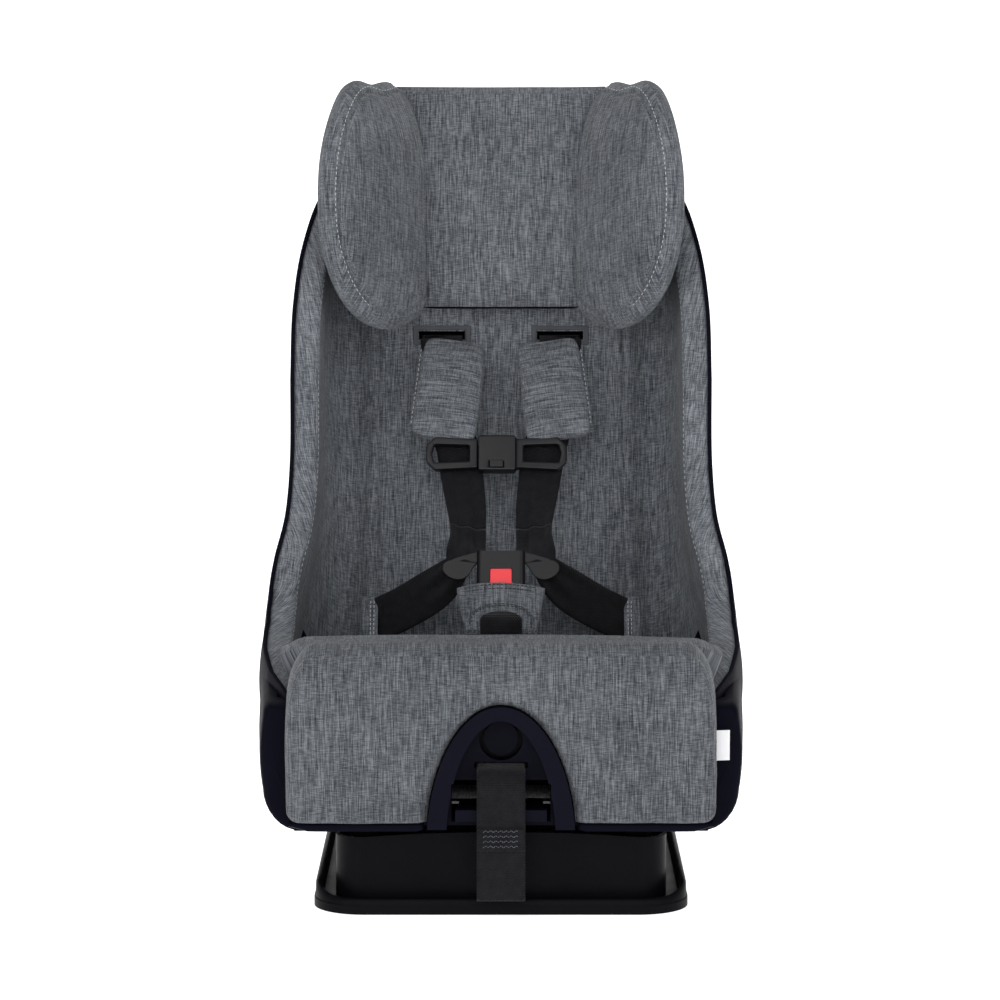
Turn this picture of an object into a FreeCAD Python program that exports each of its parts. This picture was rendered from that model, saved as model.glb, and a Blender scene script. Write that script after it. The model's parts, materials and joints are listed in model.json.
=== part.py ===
"""Convertible child car seat: a padded bucket shell that reclines on a curved-track base.

Frame: +Z up, the child faces -Y, +X is to the right when the seat is seen from the front.
The origin is on the floor, at the middle of the base tray's underside. Lengths are millimetres.

The driving dimensions are in the spreadsheet "dims". Straight-sided and turned pieces are Part
primitives, booleans and PartDesign bodies bound to its cells. The bucket shell, the bolsters that
follow it and the webbing have free-form shapes, which are worked out from the same cells.
"""
import FreeCAD
import Part
import math
import os
import re
import Sketcher
from FreeCAD import Placement, Rotation, Vector

DIMENSIONS = [
    # base
    ("tray_front", 205, "tray's front edge, ahead of the origin"),
    ("tray_rear", 190, "tray's rear edge, behind the origin"),
    ("tray_half_front", 150, "half width of the tray's flange at the front"),
    ("tray_half_rear", 158, "half width of the tray's flange at the rear"),
    ("flange_thick", 7, "thickness of the tray's flange and floor"),
    ("skirt_inset", 17, "how far the skirt stands in from the flange's edge"),
    ("skirt_top", 63, "height of the skirt at the middle of the front"),
    ("skirt_wall", 3, "wall of the skirt"),
    ("skirt_arch", 1480, "radius of the skirt's arched top edge"),
    ("rib_thick", 8, "thickness of a rib in the base"),
    ("recline_z", 620, "height of the recline axis, which runs along X above the origin"),
    ("track_top", 560.5, "radius of the tracks' top face about the recline axis"),
    ("track_bottom", 578, "radius of the tracks' bottom face"),
    ("track_x", 110, "distance of each track from the middle"),
    ("track_wide", 24, "width of a track"),
    ("groove_wide", 12.6, "width of the groove in a track"),
    ("groove_floor", 573.5, "radius of the groove's floor"),
    ("track_sweep", 34, "degrees that a track spans"),
    ("rail_wide", 11.4, "thickness of a rocker rail's blade"),
    ("rail_flange_wide", 30, "width of a rocker rail's flange"),
    ("rail_top", 546.5, "radius of a rocker rail's upper face"),
    ("rail_flange", 550, "radius of the lower face of its flange"),
    ("rail_foot", 573, "radius of the blade's lower edge"),
    ("rail_sweep", 30, "degrees that a rocker rail spans"),
    ("rail_turn", -3, "degrees that the middle of a rail is ahead of the lowest point"),
    ("bar_radius", 4, "radius of the recline lock bar"),
    ("bar_half", 122, "half length of the lock bar"),
    ("bar_y", -60, "the lock bar's place along Y"),
    ("bar_z", 68.6, "height of the lock bar"),
    ("bar_lift", 5, "how far the handle lifts the lock bar"),
    ("handle_z", 84, "height of the recline handle"),
    ("handle_front", 228, "front of the recline handle"),
    ("handle_half", 36, "half width of the recline handle's bar"),
    ("pan_inner", 541, "radius of the seat pan's upper face"),
    ("pan_outer", 545, "radius of the seat pan's lower face"),
    ("pan_half", 148, "half width of the seat pan"),
    ("pan_sweep", 28.6, "degrees that the seat pan spans"),
    ("pan_turn", -6.3, "degrees that the middle of the pan is ahead of the lowest point"),
    ("tunnel_half", 148.5, "half width of the opening for the pan and base under the shell"),
    ("tunnel_top", 540.5, "radius of that opening's top"),
    # shell and back
    ("shell_half", 215, "half of the shell's greatest width, at the hips"),
    ("shell_wall", 4, "wall of the shell"),
    ("bolster_back", 5, "shell's outer face to the back of a side bolster"),
    ("bolster_face", 24, "shell's outer face to the front of a side bolster"),
    ("back_y", 115, "front of the back pad at the height back_z"),
    ("back_z", 350, "height of the reference point on the back pad"),
    ("back_angle", 9.65, "degrees that the back leans from the vertical"),
    ("back_half", 122, "half width of the back pad"),
    ("back_low", -165, "lower edge of the back pad above the reference point"),
    ("back_high", 254, "upper edge of the back pad above the reference point"),
    ("back_thick", 25, "thickness of the back pad"),
    ("slot_x", 54, "distance of a harness slot from the middle"),
    ("slot_wide", 44, "width of a harness slot"),
    ("slot_tall", 10, "height of a harness slot"),
    ("slot_low", 110, "lower harness slots, above the reference point"),
    ("slot_pitch", 58, "from one row of harness slots to the next"),
    ("belt_y", 72, "middle of the belt path along Y"),
    ("belt_z", 127, "middle of the belt path's height"),
    ("belt_long", 56, "length of a belt opening"),
    ("belt_tall", 38, "height of a belt opening"),
    # seat cushion, front panel and arch
    ("cushion_half", 169, "half width of the front roll"),
    ("seat_half", 148, "half width of the seat cushion between the sides"),
    ("roll_front", -233, "front of the roll"),
    ("roll_top", 217, "height of the roll"),
    ("roll_bottom", 76, "lower edge of the roll's apron"),
    ("apron_back", -197, "back of the roll's apron"),
    ("seat_rear_y", 84, "rear edge of the seat cushion"),
    ("seat_rear_z", 180, "height of the seat cushion at its rear edge"),
    ("deck_z", 152, "underside of the seat cushion"),
    ("arch_base", 60, "height of the arch ellipse's centre"),
    ("arch_foot", 73, "height at which the arch is cut off"),
    ("arch_half", 58.3, "half width of the arch's ellipse"),
    ("arch_tall", 109.5, "height of the arch's ellipse"),
    ("arch_in_half", 43, "half width of the recess in the arch"),
    ("arch_in_tall", 97.8, "height of the recess in the arch"),
    ("arch_front", -231, "front of the arch's rim"),
    ("arch_floor", -211, "floor of the recess"),
    ("arch_back", -197.5, "back of the arch housing"),
    ("well_z", 141.5, "height of the harness release button"),
    ("well_radius", 17, "radius of the button's well"),
    ("button_radius", 13.5, "radius of the harness release button"),
    ("finger_half", 39, "half width of the finger gap above the recline handle"),
    ("finger_low", 76, "lower edge of the finger gap"),
    ("finger_high", 109, "top of the finger gap"),
    # harness
    ("web_wide", 38, "width of the webbing"),
    ("web_thick", 1.6, "thickness of the webbing"),
    ("buckle_y", 2, "centre of the buckle"),
    ("buckle_z", 243, "centre of the buckle"),
    ("buckle_tilt", 20, "degrees that the buckle leans back"),
    ("buckle_wide", 42, "width of the buckle's case"),
    ("buckle_thick", 17, "thickness of the buckle's case"),
    ("buckle_tall", 56, "height of the buckle's case"),
    ("tongue_thick", 2.4, "thickness of a tongue's plate"),
    ("clip_x", -4, "middle of the chest clip"),
    ("clip_y", 60, "centre of the chest clip"),
    ("clip_z", 353, "centre of the chest clip"),
    ("clip_tilt", 25, "degrees that the chest clip leans back"),
    ("clip_half", 62.5, "half width of the chest clip"),
    ("clip_tall", 31, "height of the chest clip"),
    ("clip_thick", 11, "thickness of the chest clip at its middle"),
    # headrest, in the frame of the back
    ("head_low", 130, "lower edge of the head pad above the reference point"),
    ("head_high", 326, "upper edge of the head pad above the reference point"),
    ("head_front", -45, "front of the head pad against the back pad's front"),
    ("head_pad", 28, "thickness of the head pad"),
    ("head_wall", 4, "wall of the headrest's shell"),
    ("head_half", 68, "half width of the head pad"),
    ("wing_turn", 52, "degrees that a head wing turns forward"),
    ("wing_wide", 128, "width of a head wing"),
    ("wing_low", 104, "lower edge of a wing above the reference point"),
    ("wing_high", 319, "upper edge of a wing above the reference point"),
    ("wing_pad", 14, "thickness of a wing's pad"),
    ("wing_wall", 3, "wall of the shell behind a wing's pad"),
    ("post_x", 20, "distance of a headrest post from the middle"),
    ("post_depth", 33, "depth of the posts behind the back pad's front"),
    ("post_radius", 4.5, "radius of a headrest post"),
    ("post_low", 60, "lower end of the posts above the reference point"),
    ("post_high", 284, "upper end of the posts above the reference point"),
    ("lever_pivot", 303, "height of the headrest lever's pivot above the reference point"),
]

doc = FreeCAD.newDocument("convertible_car_seat")
sheet = doc.addObject("Spreadsheet::Sheet", "dims")
for row, (alias, value, note) in enumerate(DIMENSIONS, start=1):
    sheet.set(f"A{row}", alias)
    sheet.set(f"B{row}", str(value))
    sheet.set(f"C{row}", note)
    sheet.setAlias(f"B{row}", alias)
doc.recompute()
DIM = {alias: float(sheet.get(alias)) for alias, _, _ in DIMENSIONS}
probe = doc.addObject("App::FeaturePython", "probe")
probe.addProperty("App::PropertyFloat", "value")
SIDES = (("left", -1), ("right", 1))
ACROSS = Vector(1, 0, 0)
UP = Vector(0, 0, 1)
parts = []


# ---------------------------------------------------------------- helpers

def bound(text):
    """An expression on the sheet: each alias in it gets the sheet's name."""
    return re.sub(r"[a-z]\w*", lambda m: "dims." + m[0] if m[0] in DIM else m[0], str(text))


def number(text):
    """The value of such an expression."""
    probe.setExpression("value", bound(text))
    doc.recompute([probe])
    return probe.value


def put(obj, at=(0, 0, 0), axis=ACROSS, angle=0):
    """Binds an object's place and its turn about one axis to the sheet."""
    obj.Placement = Placement(Vector(), Rotation(Vector(*axis), 1))
    for letter, value in zip("xyz", at):
        obj.setExpression(f"Placement.Base.{letter}", bound(value))
    obj.setExpression("Placement.Rotation.Angle", bound(angle))
    return obj


def at_recline_axis(obj, turn=0):
    """Places an object whose own origin is on the recline axis."""
    return put(obj, (0, 0, "recline_z"), ACROSS, turn)


def own_frame(obj):
    """The object, or a group of it alone where its own placement is its place in the frame."""
    if obj.TypeId in ("Part::Box", "Part::Cylinder"):
        name = obj.Name
        obj.Label = name + "_blank"
        return group(name + "_placed", [obj])
    return obj


def in_back_frame(obj):
    """Places an object made in the back's frame: X across, Y into the pad, Z up the back."""
    return put(own_frame(obj), (0, "back_y", "back_z"), Vector(-1, 0, 0), "back_angle")


def in_buckle_frame(obj):
    """Places an object made in the buckle's frame: Z is the way that the tongues come out."""
    return put(own_frame(obj), (0, "buckle_y", "buckle_z"), Vector(-1, 0, 0), "buckle_tilt")


def in_clip_frame(obj):
    """Places an object made in the chest clip's frame: Z is up along the shoulder straps."""
    return put(own_frame(obj), ("clip_x", "clip_y", "clip_z"), Vector(-1, 0, 0), "clip_tilt")


def feature(kind, name, **sizes):
    """A document object with its sizes bound to the sheet."""
    obj = doc.addObject(kind, name)
    for name_of_size, text in sizes.items():
        obj.setExpression(name_of_size, bound(text))
    return obj


def box(name, x, y, z):
    """A box between two expressions along each axis."""
    obj = feature("Part::Box", name, Length=f"({x[1]}) - ({x[0]})",
                  Width=f"({y[1]}) - ({y[0]})", Height=f"({z[1]}) - ({z[0]})")
    return put(obj, (x[0], y[0], z[0]))


def rod(name, radius, length, at, axis=(0, 0, 1)):
    """A cylinder from a point along an axis."""
    obj = feature("Part::Cylinder", name, Radius=radius, Height=length)
    obj.Placement = Placement(Vector(), Rotation(UP, Vector(*axis)))
    for letter, value in zip("xyz", at):
        obj.setExpression(f"Placement.Base.{letter}", bound(value))
    return obj


def fuse(name, pieces):
    obj = doc.addObject("Part::MultiFuse", name)
    obj.Shapes = pieces
    obj.Refine = True
    return obj


def cut(name, base, tools):
    """The base less all the tools."""
    obj = doc.addObject("Part::Cut", name)
    obj.Base = base
    obj.Tool = tools[0] if len(tools) == 1 else fuse(name + "_tool", tools)
    return obj


def common(name, first, second):
    obj = doc.addObject("Part::Common", name)
    obj.Base = first
    obj.Tool = second
    return obj


def group(name, pieces):
    """Separate solids kept in one node."""
    obj = doc.addObject("Part::Compound", name)
    obj.Links = pieces
    return obj


def mirrored(name, base):
    """The base's twin on the other side of the middle."""
    obj = doc.addObject("Part::Mirroring", name)
    obj.Source = base
    obj.Normal = ACROSS
    return obj


def part(obj, label=None):
    """Registers a sub-part under the name of its node."""
    obj.Label = label or obj.Name
    parts.append(obj)
    return obj


def solid_part(label, shape):
    """A sub-part whose shape is worked out in code."""
    obj = doc.addObject("Part::Feature", label)
    obj.Shape = shape
    return part(obj, label)


class Design:
    """A PartDesign body whose sketches have every corner bound to the sheet."""

    def __init__(self, name):
        self.body = doc.addObject("PartDesign::Body", name)

    def plane(self, role):
        return next(f for f in self.body.Origin.OriginFeatures if f.Role == role)

    def sketch(self, role, outlines, offset=0):
        """Closed outlines, each a list of corners or a circle as (u, v, radius)."""
        sketch = self.body.newObject("Sketcher::SketchObject", self.body.Name + "_sketch")
        sketch.AttachmentSupport = [(self.plane(role), "")]
        sketch.MapMode = "FlatFace"
        sketch.setExpression("AttachmentOffset.Base.z", bound(offset))
        for outline in outlines:
            if isinstance(outline, tuple):
                self.circle(sketch, *outline)
            else:
                self.polygon(sketch, outline)
        return sketch

    def pin(self, sketch, geometry, point, u, v):
        """Ties a point's two coordinates to expressions."""
        for kind, text in (("DistanceX", u), ("DistanceY", v)):
            start = sketch.getPoint(geometry, point)
            value = start.x if kind == "DistanceX" else start.y
            index = sketch.addConstraint(
                Sketcher.Constraint(kind, -1, 1, geometry, point, value))
            sketch.setExpression(f"Constraints[{index}]", bound(text))

    def circle(self, sketch, u, v, radius):
        centre = Vector(number(u), number(v), 0)
        index = sketch.addGeometry(Part.Circle(centre, Vector(0, 0, 1), number(radius)))
        self.pin(sketch, index, 3, u, v)
        constraint = sketch.addConstraint(Sketcher.Constraint("Radius", index, number(radius)))
        sketch.setExpression(f"Constraints[{constraint}]", bound(radius))

    def polygon(self, sketch, corners):
        places = [Vector(number(u), number(v), 0) for u, v in corners]
        first = sketch.GeometryCount
        for start, end in zip(places, places[1:] + places[:1]):
            sketch.addGeometry(Part.LineSegment(start, end))
        for index, (u, v) in enumerate(corners):
            following = (index + 1) % len(corners)
            sketch.addConstraint(
                Sketcher.Constraint("Coincident", first + index, 2, first + following, 1))
            self.pin(sketch, first + index, 1, u, v)

    def pad(self, sketch, length, both_ways=True):
        pad = self.body.newObject("PartDesign::Pad", self.body.Name + "_pad")
        pad.Profile = sketch
        pad.setExpression("Length", bound(length))
        pad.Midplane = both_ways
        return pad

    def turn(self, sketch, angle):
        """Revolves the sketch about its own horizontal axis, half the angle each way."""
        turned = self.body.newObject("PartDesign::Revolution", self.body.Name + "_turn")
        turned.Profile = sketch
        turned.ReferenceAxis = (sketch, ["H_Axis"])
        turned.setExpression("Angle", bound(angle))
        turned.Midplane = True
        return turned

    def round(self, radius, chosen):
        """Fillets the edges of the last feature for which chosen(edge) is true."""
        doc.recompute()
        base = self.body.Tip
        names = [f"Edge{i}" for i, edge in enumerate(base.Shape.Edges, start=1) if chosen(edge)]
        fillet = self.body.newObject("PartDesign::Fillet", self.body.Name + "_fillet")
        fillet.Base = (base, names)
        fillet.setExpression("Radius", bound(radius))
        return fillet


def along(direction):
    """Chooses straight edges parallel to a direction."""
    way = Vector(*direction)

    def chosen(edge):
        if edge.Curve.TypeId != "Part::GeomLine":
            return False
        return abs(abs(edge.Curve.Direction.dot(way)) - 1) < 1e-6
    return chosen


def at_corner(x=None, z=None):
    """Chooses edges whose middle is beyond the given place; a negative place means below it."""
    def chosen(edge):
        centre = edge.BoundBox.Center
        right = x is None or (centre.x - x) * math.copysign(1, x) > 0
        high = z is None or (centre.z - abs(z)) * math.copysign(1, z) > 0
        return right and high
    return chosen


def both(*tests):
    return lambda edge: all(test(edge) for test in tests)


# ---------------------------------------------------------------- base

def make_base():
    half = {"front": ("tray_half_front", "-tray_front"), "rear": ("tray_half_rear", "tray_rear")}

    def outline(inset):
        front_x, front_y = half["front"]
        rear_x, rear_y = half["rear"]
        return [(f"-({front_x} - ({inset}))", f"{front_y} + ({inset})"),
                (f"{front_x} - ({inset})", f"{front_y} + ({inset})"),
                (f"{rear_x} - ({inset})", f"{rear_y} - ({inset})"),
                (f"-({rear_x} - ({inset}))", f"{rear_y} - ({inset})")]

    def tray_plate(name, inset, height, front_radius, rear_radius):
        design = Design(name)
        design.pad(design.sketch("XY_Plane", [outline(inset)]), height, both_ways=False)
        upright = along((0, 0, 1))
        design.round(front_radius, both(upright, lambda e: e.BoundBox.Center.y < 0))
        design.round(rear_radius, both(upright, lambda e: e.BoundBox.Center.y > 0))
        return design.body

    flange = tray_plate("tray_flange", 0, "flange_thick", 42, 28)
    skirt = tray_plate("tray_skirt", "skirt_inset", "skirt_top", 30, 20)
    hollow = tray_plate("tray_hollow", "skirt_inset + skirt_wall", "skirt_top", 27, 17)
    put(hollow, (0, 0, "flange_thick"))
    arch = rod("tray_arch", "skirt_arch", "tray_front + tray_rear",
               (0, "-tray_front", "skirt_top - skirt_arch"), (0, 1, 0))
    walls = cut("tray_walls", common("tray_crown", skirt, arch), [hollow])
    pads = []
    wells = []
    for index, (x, y) in enumerate(((-118, -162), (118, -162), (-126, 150), (126, 150))):
        pads.append(rod(f"pad_{index}", 13, 3, (x, y, 0)))
        wells.append(rod(f"pad_well_{index}", 13, 3, (x, y, 0)))
    part(cut("base_tray", fuse("tray_body", [flange, walls]), wells))
    part(group("grip_pads", pads))

    ribs = []
    for index, y in enumerate((-135, -45, 45, 135)):
        ribs.append(box(f"cross_rib_{index}", ("-track_x - 12", "track_x + 12"),
                        (f"{y} - rib_thick / 2", f"{y} + rib_thick / 2"), ("flange_thick", 70)))
    for name, sign in SIDES:
        ribs.append(box(f"long_rib_{name}", (f"{sign} * track_x - 10", f"{sign} * track_x + 10"),
                        (-160, 160), ("flange_thick", 70)))
    clearance = rod("rib_clearance", "track_bottom", 400, (-200, 0, "recline_z"), (1, 0, 0))
    screws = []
    screw_holes = []
    for index, (side, turn) in enumerate(((s, t) for _, s in SIDES for t in (-12, 0, 12))):
        for radius, foot, length in ((4, 578, 4), (2, 588, 12)):
            for store, label in ((screws, "screw"), (screw_holes, "hole")):
                piece = feature("Part::Cylinder", f"base_{label}_{index}_{radius}",
                                Radius=radius, Height=length)
                put(piece, (f"{side} * track_x", f"{foot} * sin({turn} deg)",
                            f"recline_z - {foot} * cos({turn} deg)"), ACROSS, turn)
                store.append(piece)
    part(cut("base_ribs", fuse("rib_grid", ribs), [clearance] + screw_holes[1::2]))
    pairs = [fuse(f"base_screw_{i}", screws[i:i + 2]) for i in range(0, len(screws), 2)]
    part(group("track_screws", pairs))

    design = Design("track")
    inner = "track_x - track_wide / 2"
    outer = "track_x + track_wide / 2"
    groove_in = "track_x - groove_wide / 2"
    groove_out = "track_x + groove_wide / 2"
    design.turn(design.sketch("XZ_Plane", [[
        (inner, "-track_top"), (inner, "-track_bottom"), (outer, "-track_bottom"),
        (outer, "-track_top"), (groove_out, "-track_top"), (groove_out, "-groove_floor"),
        (groove_in, "-groove_floor"), (groove_in, "-track_top")]]), "track_sweep")
    at_recline_axis(design.body)
    right = part(cut("base_track_right", design.body, screw_holes[len(screw_holes) // 2:]))
    part(mirrored("base_track_left", right))


# ---------------------------------------------------------------- bucket shell

# Sections of the shell from its front lip, under the seat and up the back: the middle of the
# section (y, z), its free edge (y, z) and its half width.
STATIONS = [
    (-192, 68, -184, 172, 170),
    (-125, 66, -138, 186, 185),
    (-55, 66, -96, 201, 200),
    (15, 67, -60, 218, 211),
    (75, 80, -36, 240, 215),
    (118, 118, -18, 268, 209),
    (137, 185, -8, 305, 197),
    (152, 270, 0, 355, 190.5),
    (167, 355, 11, 420, 188.5),
    (181, 440, 28, 482, 187.5),
    (193, 512, 56, 540, 180),
    (202, 572, 102, 590, 163),
    (207, 610, 158, 618, 128),
]
STATION_STEPS = 3
HALF_COLUMNS = 13
WIDEST_STATION = max(half for *_, half in STATIONS)


def spline(values, place):
    """Catmull-Rom value at a place along a row of numbers."""
    index = min(int(place), len(values) - 2)
    share = place - index
    before = values[index - 1] if index else 2 * values[0] - values[1]
    start, end = values[index], values[index + 1]
    last = index + 2 >= len(values)
    after = 2 * values[-1] - values[-2] if last else values[index + 2]
    return start + 0.5 * share * (end - before + share * (
        2 * before - 5 * start + 4 * end - after + share * (3 * (start - end) + after - before)))


def shell_section(place):
    """Points of one section from its middle to its free edge, at even spacing."""
    middle_y, middle_z, edge_y, edge_z, half = (spline(row, place) for row in zip(*STATIONS))
    half *= DIM["shell_half"] / WIDEST_STATION
    torso = min(1.0, max(0.0, (place - 4) / 4))
    power = 2 / (5 - 0.5 * torso)
    tumblehome = 0.08 - 0.05 * torso
    rise = math.hypot(edge_y - middle_y, edge_z - middle_z)
    curve = []
    for step in range(121):
        angle = math.radians(90 * step / 120)
        lift = 1 - max(0.0, math.cos(angle)) ** power
        curve.append((half * math.sin(angle) ** power * (1 - tumblehome * lift ** 2), lift))
    lengths = [0.0]
    for (x0, q0), (x1, q1) in zip(curve, curve[1:]):
        lengths.append(lengths[-1] + math.hypot(x1 - x0, (q1 - q0) * rise))
    points = []
    index = 0
    for column in range(HALF_COLUMNS + 1):
        wanted = lengths[-1] * column / HALF_COLUMNS
        while index < len(curve) - 2 and lengths[index + 1] < wanted:
            index += 1
        share = (wanted - lengths[index]) / (lengths[index + 1] - lengths[index])
        x = curve[index][0] + share * (curve[index + 1][0] - curve[index][0])
        lift = curve[index][1] + share * (curve[index + 1][1] - curve[index][1])
        points.append(Vector(x, middle_y + lift * (edge_y - middle_y),
                             middle_z + lift * (edge_z - middle_z)))
    return points


def shell_grid():
    """The shell's outer face, from the front lip to the top and from left to right."""
    rows = []
    for step in range((len(STATIONS) - 1) * STATION_STEPS + 1):
        half = shell_section(step / STATION_STEPS)
        left = [Vector(-p.x, p.y, p.z) for p in reversed(half[1:])]
        rows.append(left + half)
    return rows


def inward(grid):
    """Unit vectors at each point of the grid that point into the seat."""
    normals = []
    for i, row in enumerate(grid):
        below = grid[max(i - 1, 0)]
        above = grid[min(i + 1, len(grid) - 1)]
        line = []
        for j in range(len(row)):
            across = row[min(j + 1, len(row) - 1)] - row[max(j - 1, 0)]
            normal = across.cross(above[j] - below[j])
            line.append(normal.normalize())
        normals.append(line)
    return normals


def offset(grid, normals, depths):
    """The grid moved into the seat; depths is a number or one per row."""
    rows = []
    for i, row in enumerate(grid):
        depth = depths if isinstance(depths, (int, float)) else depths[i]
        rows.append([p + n * depth for p, n in zip(row, normals[i])])
    return rows


def thick_surface(first, second):
    """A solid between two grids of points of the same size."""
    faces = []
    borders = []
    for grid in (first, second):
        surface = Part.BSplineSurface()
        surface.interpolate(grid)
        faces.append(surface.toShape())
        u0, u1, v0, v1 = surface.bounds()
        borders.append([surface.uIso(u0).toShape(), surface.uIso(u1).toShape(),
                        surface.vIso(v0).toShape(), surface.vIso(v1).toShape()])
    for inner, outer in zip(*borders):
        faces.append(Part.makeRuledSurface(inner, outer))
    skin = Part.makeCompound(faces)
    skin.sewShape()
    solid = Part.makeSolid(skin.Shells[0])
    if solid.Volume < 0:
        solid.reverse()
    return solid


def back_point(x, depth, up):
    """A point given in the back's frame."""
    lean = math.radians(DIM["back_angle"])
    return Vector(x, DIM["back_y"] + depth * math.cos(lean) + up * math.sin(lean),
                  DIM["back_z"] - depth * math.sin(lean) + up * math.cos(lean))


def slot_boxes(label, low, high):
    """Boxes through the four harness slots, from one depth to another."""
    slots = []
    for side_name, side in SIDES:
        for row in range(2):
            middle = f"slot_low + {row} * slot_pitch"
            centre = f"{side} * slot_x"
            slots.append(box(f"{label}_slot_{side_name}_{row}",
                             (f"{centre} - slot_wide / 2", f"{centre} + slot_wide / 2"),
                             (low, high),
                             (f"{middle} - slot_tall / 2", f"{middle} + slot_tall / 2")))
    return slots


def make_shell():
    grid = shell_grid()
    normals = inward(grid)
    skin = doc.addObject("Part::Feature", "shell_skin")
    skin.Shape = thick_surface(grid, offset(grid, normals, DIM["shell_wall"]))

    tunnel_low = feature("Part::Cylinder", "tunnel_low", Radius="tunnel_top + 60",
                         Height="2 * tunnel_half", Angle=40)
    tunnel_high = feature("Part::Cylinder", "tunnel_high", Radius="tunnel_top",
                          Height="2 * tunnel_half")
    for piece in (tunnel_low, tunnel_high):
        piece.Placement = Placement(Vector(), Rotation(Vector(0, 0, -1), Vector(0, 1, 0),
                                                       Vector(1, 0, 0)))
        piece.setExpression("Placement.Base.x", bound("-tunnel_half"))
        piece.setExpression("Placement.Base.z", bound("recline_z"))
    tunnel_low.Placement = Placement(
        tunnel_low.Placement.Base,
        Rotation(Vector(1, 0, 0), -25).multiply(tunnel_low.Placement.Rotation))
    tunnel = cut("tunnel", tunnel_low, [tunnel_high])
    belt = belt_box("shell_belt")
    slots = fuse("shell_slots", slot_boxes("shell", 30, 60))
    in_back_frame(slots)
    strap_gap = box("shell_strap_gap", (-22, 22), (86, 128), (90, 128))
    part(cut("shell", skin, [tunnel, belt, slots, strap_gap]))

    design = Design("pan")
    design.turn(design.sketch("XZ_Plane", [[
        ("-pan_half", "-pan_inner"), ("-pan_half", "-pan_outer"),
        ("pan_half", "-pan_outer"), ("pan_half", "-pan_inner")]]), "pan_sweep")
    at_recline_axis(design.body, "pan_turn")
    pan_screws = rail_screws("pan")
    part(cut("seat_pan", design.body, pan_screws))
    part(group("rail_screws", rail_screws("rail")))

    design = Design("rail")
    flange_in = "track_x - rail_flange_wide / 2"
    flange_out = "track_x + rail_flange_wide / 2"
    blade_in = "track_x - rail_wide / 2"
    blade_out = "track_x + rail_wide / 2"
    design.turn(design.sketch("XZ_Plane", [[
        (flange_in, "-rail_top"), (flange_in, "-rail_flange"), (blade_in, "-rail_flange"),
        (blade_in, "-rail_foot"), (blade_out, "-rail_foot"), (blade_out, "-rail_flange"),
        (flange_out, "-rail_flange"), (flange_out, "-rail_top")]]), "rail_sweep")
    at_recline_axis(design.body, "rail_turn")
    bar_slot = box("bar_slot", ("track_x - rail_flange_wide", "track_x + rail_flange_wide"),
                   ("bar_y - bar_radius - 1", "bar_y + bar_radius + 1"),
                   ("bar_z - bar_radius - 1", "bar_z + bar_radius + bar_lift + 1"))
    right = part(cut("rocker_rail_right", design.body, [bar_slot] + rail_screws("hole")[3:]))
    part(mirrored("rocker_rail_left", right))


def rail_screws(label):
    """Screws that hold the rails' flanges to the seat pan, left and right."""
    screws = []
    for side_name, side in SIDES:
        for index, turn in enumerate((-16, -9, 4)):
            screw = feature("Part::Cylinder", f"{label}_screw_{side_name}_{index}",
                            Radius=3, Height="rail_flange - pan_inner + 3")
            foot = "(rail_flange + 1.5)"
            put(screw, (f"{side} * (track_x + 10.5)", f"{foot} * sin({turn} deg)",
                        f"recline_z - {foot} * cos({turn} deg)"), ACROSS, turn)
            screws.append(screw)
    return screws


def belt_box(label):
    """The way that a vehicle belt takes through the seat, from side to side."""
    return box(label, ("-shell_half - 20", "shell_half + 20"),
               ("belt_y - belt_long / 2", "belt_y + belt_long / 2"),
               ("belt_z - belt_tall / 2", "belt_z + belt_tall / 2"))


def make_bolsters():
    """Foam along the shell's sides, from the front of the seat to beside the head."""
    grid = shell_grid()
    normals = inward(grid)
    columns = 5
    rows = range(1, len(grid) - 2)
    back = []
    face = []
    for i in rows:
        back_share = min(1.0, max(0.0, i / STATION_STEPS / 7))
        start = HALF_COLUMNS + 8.6 - 2.2 * back_share
        span = 2 * HALF_COLUMNS - start
        depth = DIM["bolster_face"]
        for store, inset in ((back, DIM["bolster_back"]), (face, depth)):
            line = []
            for column in range(columns + 1):
                place = start + span * column / columns
                j = min(int(place), 2 * HALF_COLUMNS - 1)
                share = place - j
                point = grid[i][j] * (1 - share) + grid[i][j + 1] * share
                normal = normals[i][j] * (1 - share) + normals[i][j + 1] * share
                line.append(point + normal.normalize() * inset)
            store.append(line)
    foam = doc.addObject("Part::Feature", "bolster_foam")
    foam.Shape = thick_surface(back, face)
    seat_room = box("bolster_seat_room", (0, "seat_half + 0.3"), (-200, "seat_rear_y + 0.3"),
                    (60, "roll_top"))
    back_room = in_back_frame(box("bolster_back_room", (0, "back_half + 0.3"), (-3, 60),
                                  ("back_low - 5", "back_high + 3")))
    right = part(cut("bolster_right", foam, [belt_box("bolster_belt"), seat_room, back_room]))
    part(mirrored("bolster_left", right))


# ---------------------------------------------------------------- seat, front and back

def arch_prism(label, half, tall, front, back):
    """An elliptical prism that stands on the arch's foot, from front to back."""
    ring = feature("Part::Ellipse", label + "_ellipse", MajorRadius=tall, MinorRadius=half)
    ring.Placement = Placement(Vector(), Rotation(Vector(0, 0, 1), Vector(1, 0, 0), Vector(0, 1, 0)))
    ring.setExpression("Placement.Base.y", bound(front))
    ring.setExpression("Placement.Base.z", bound("arch_base"))
    prism = feature("Part::Extrusion", label + "_prism", LengthFwd=f"({back}) - ({front})")
    prism.Base = ring
    prism.DirMode = "Custom"
    prism.Dir = Vector(0, 1, 0)
    prism.Solid = True
    foot = box(label + "_foot", ("-2 * arch_half", "2 * arch_half"), (f"{front} - 5", f"{back} + 5"),
               ("arch_base - 2 * arch_tall", "arch_foot"))
    return cut(label, prism, [foot])


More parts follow.
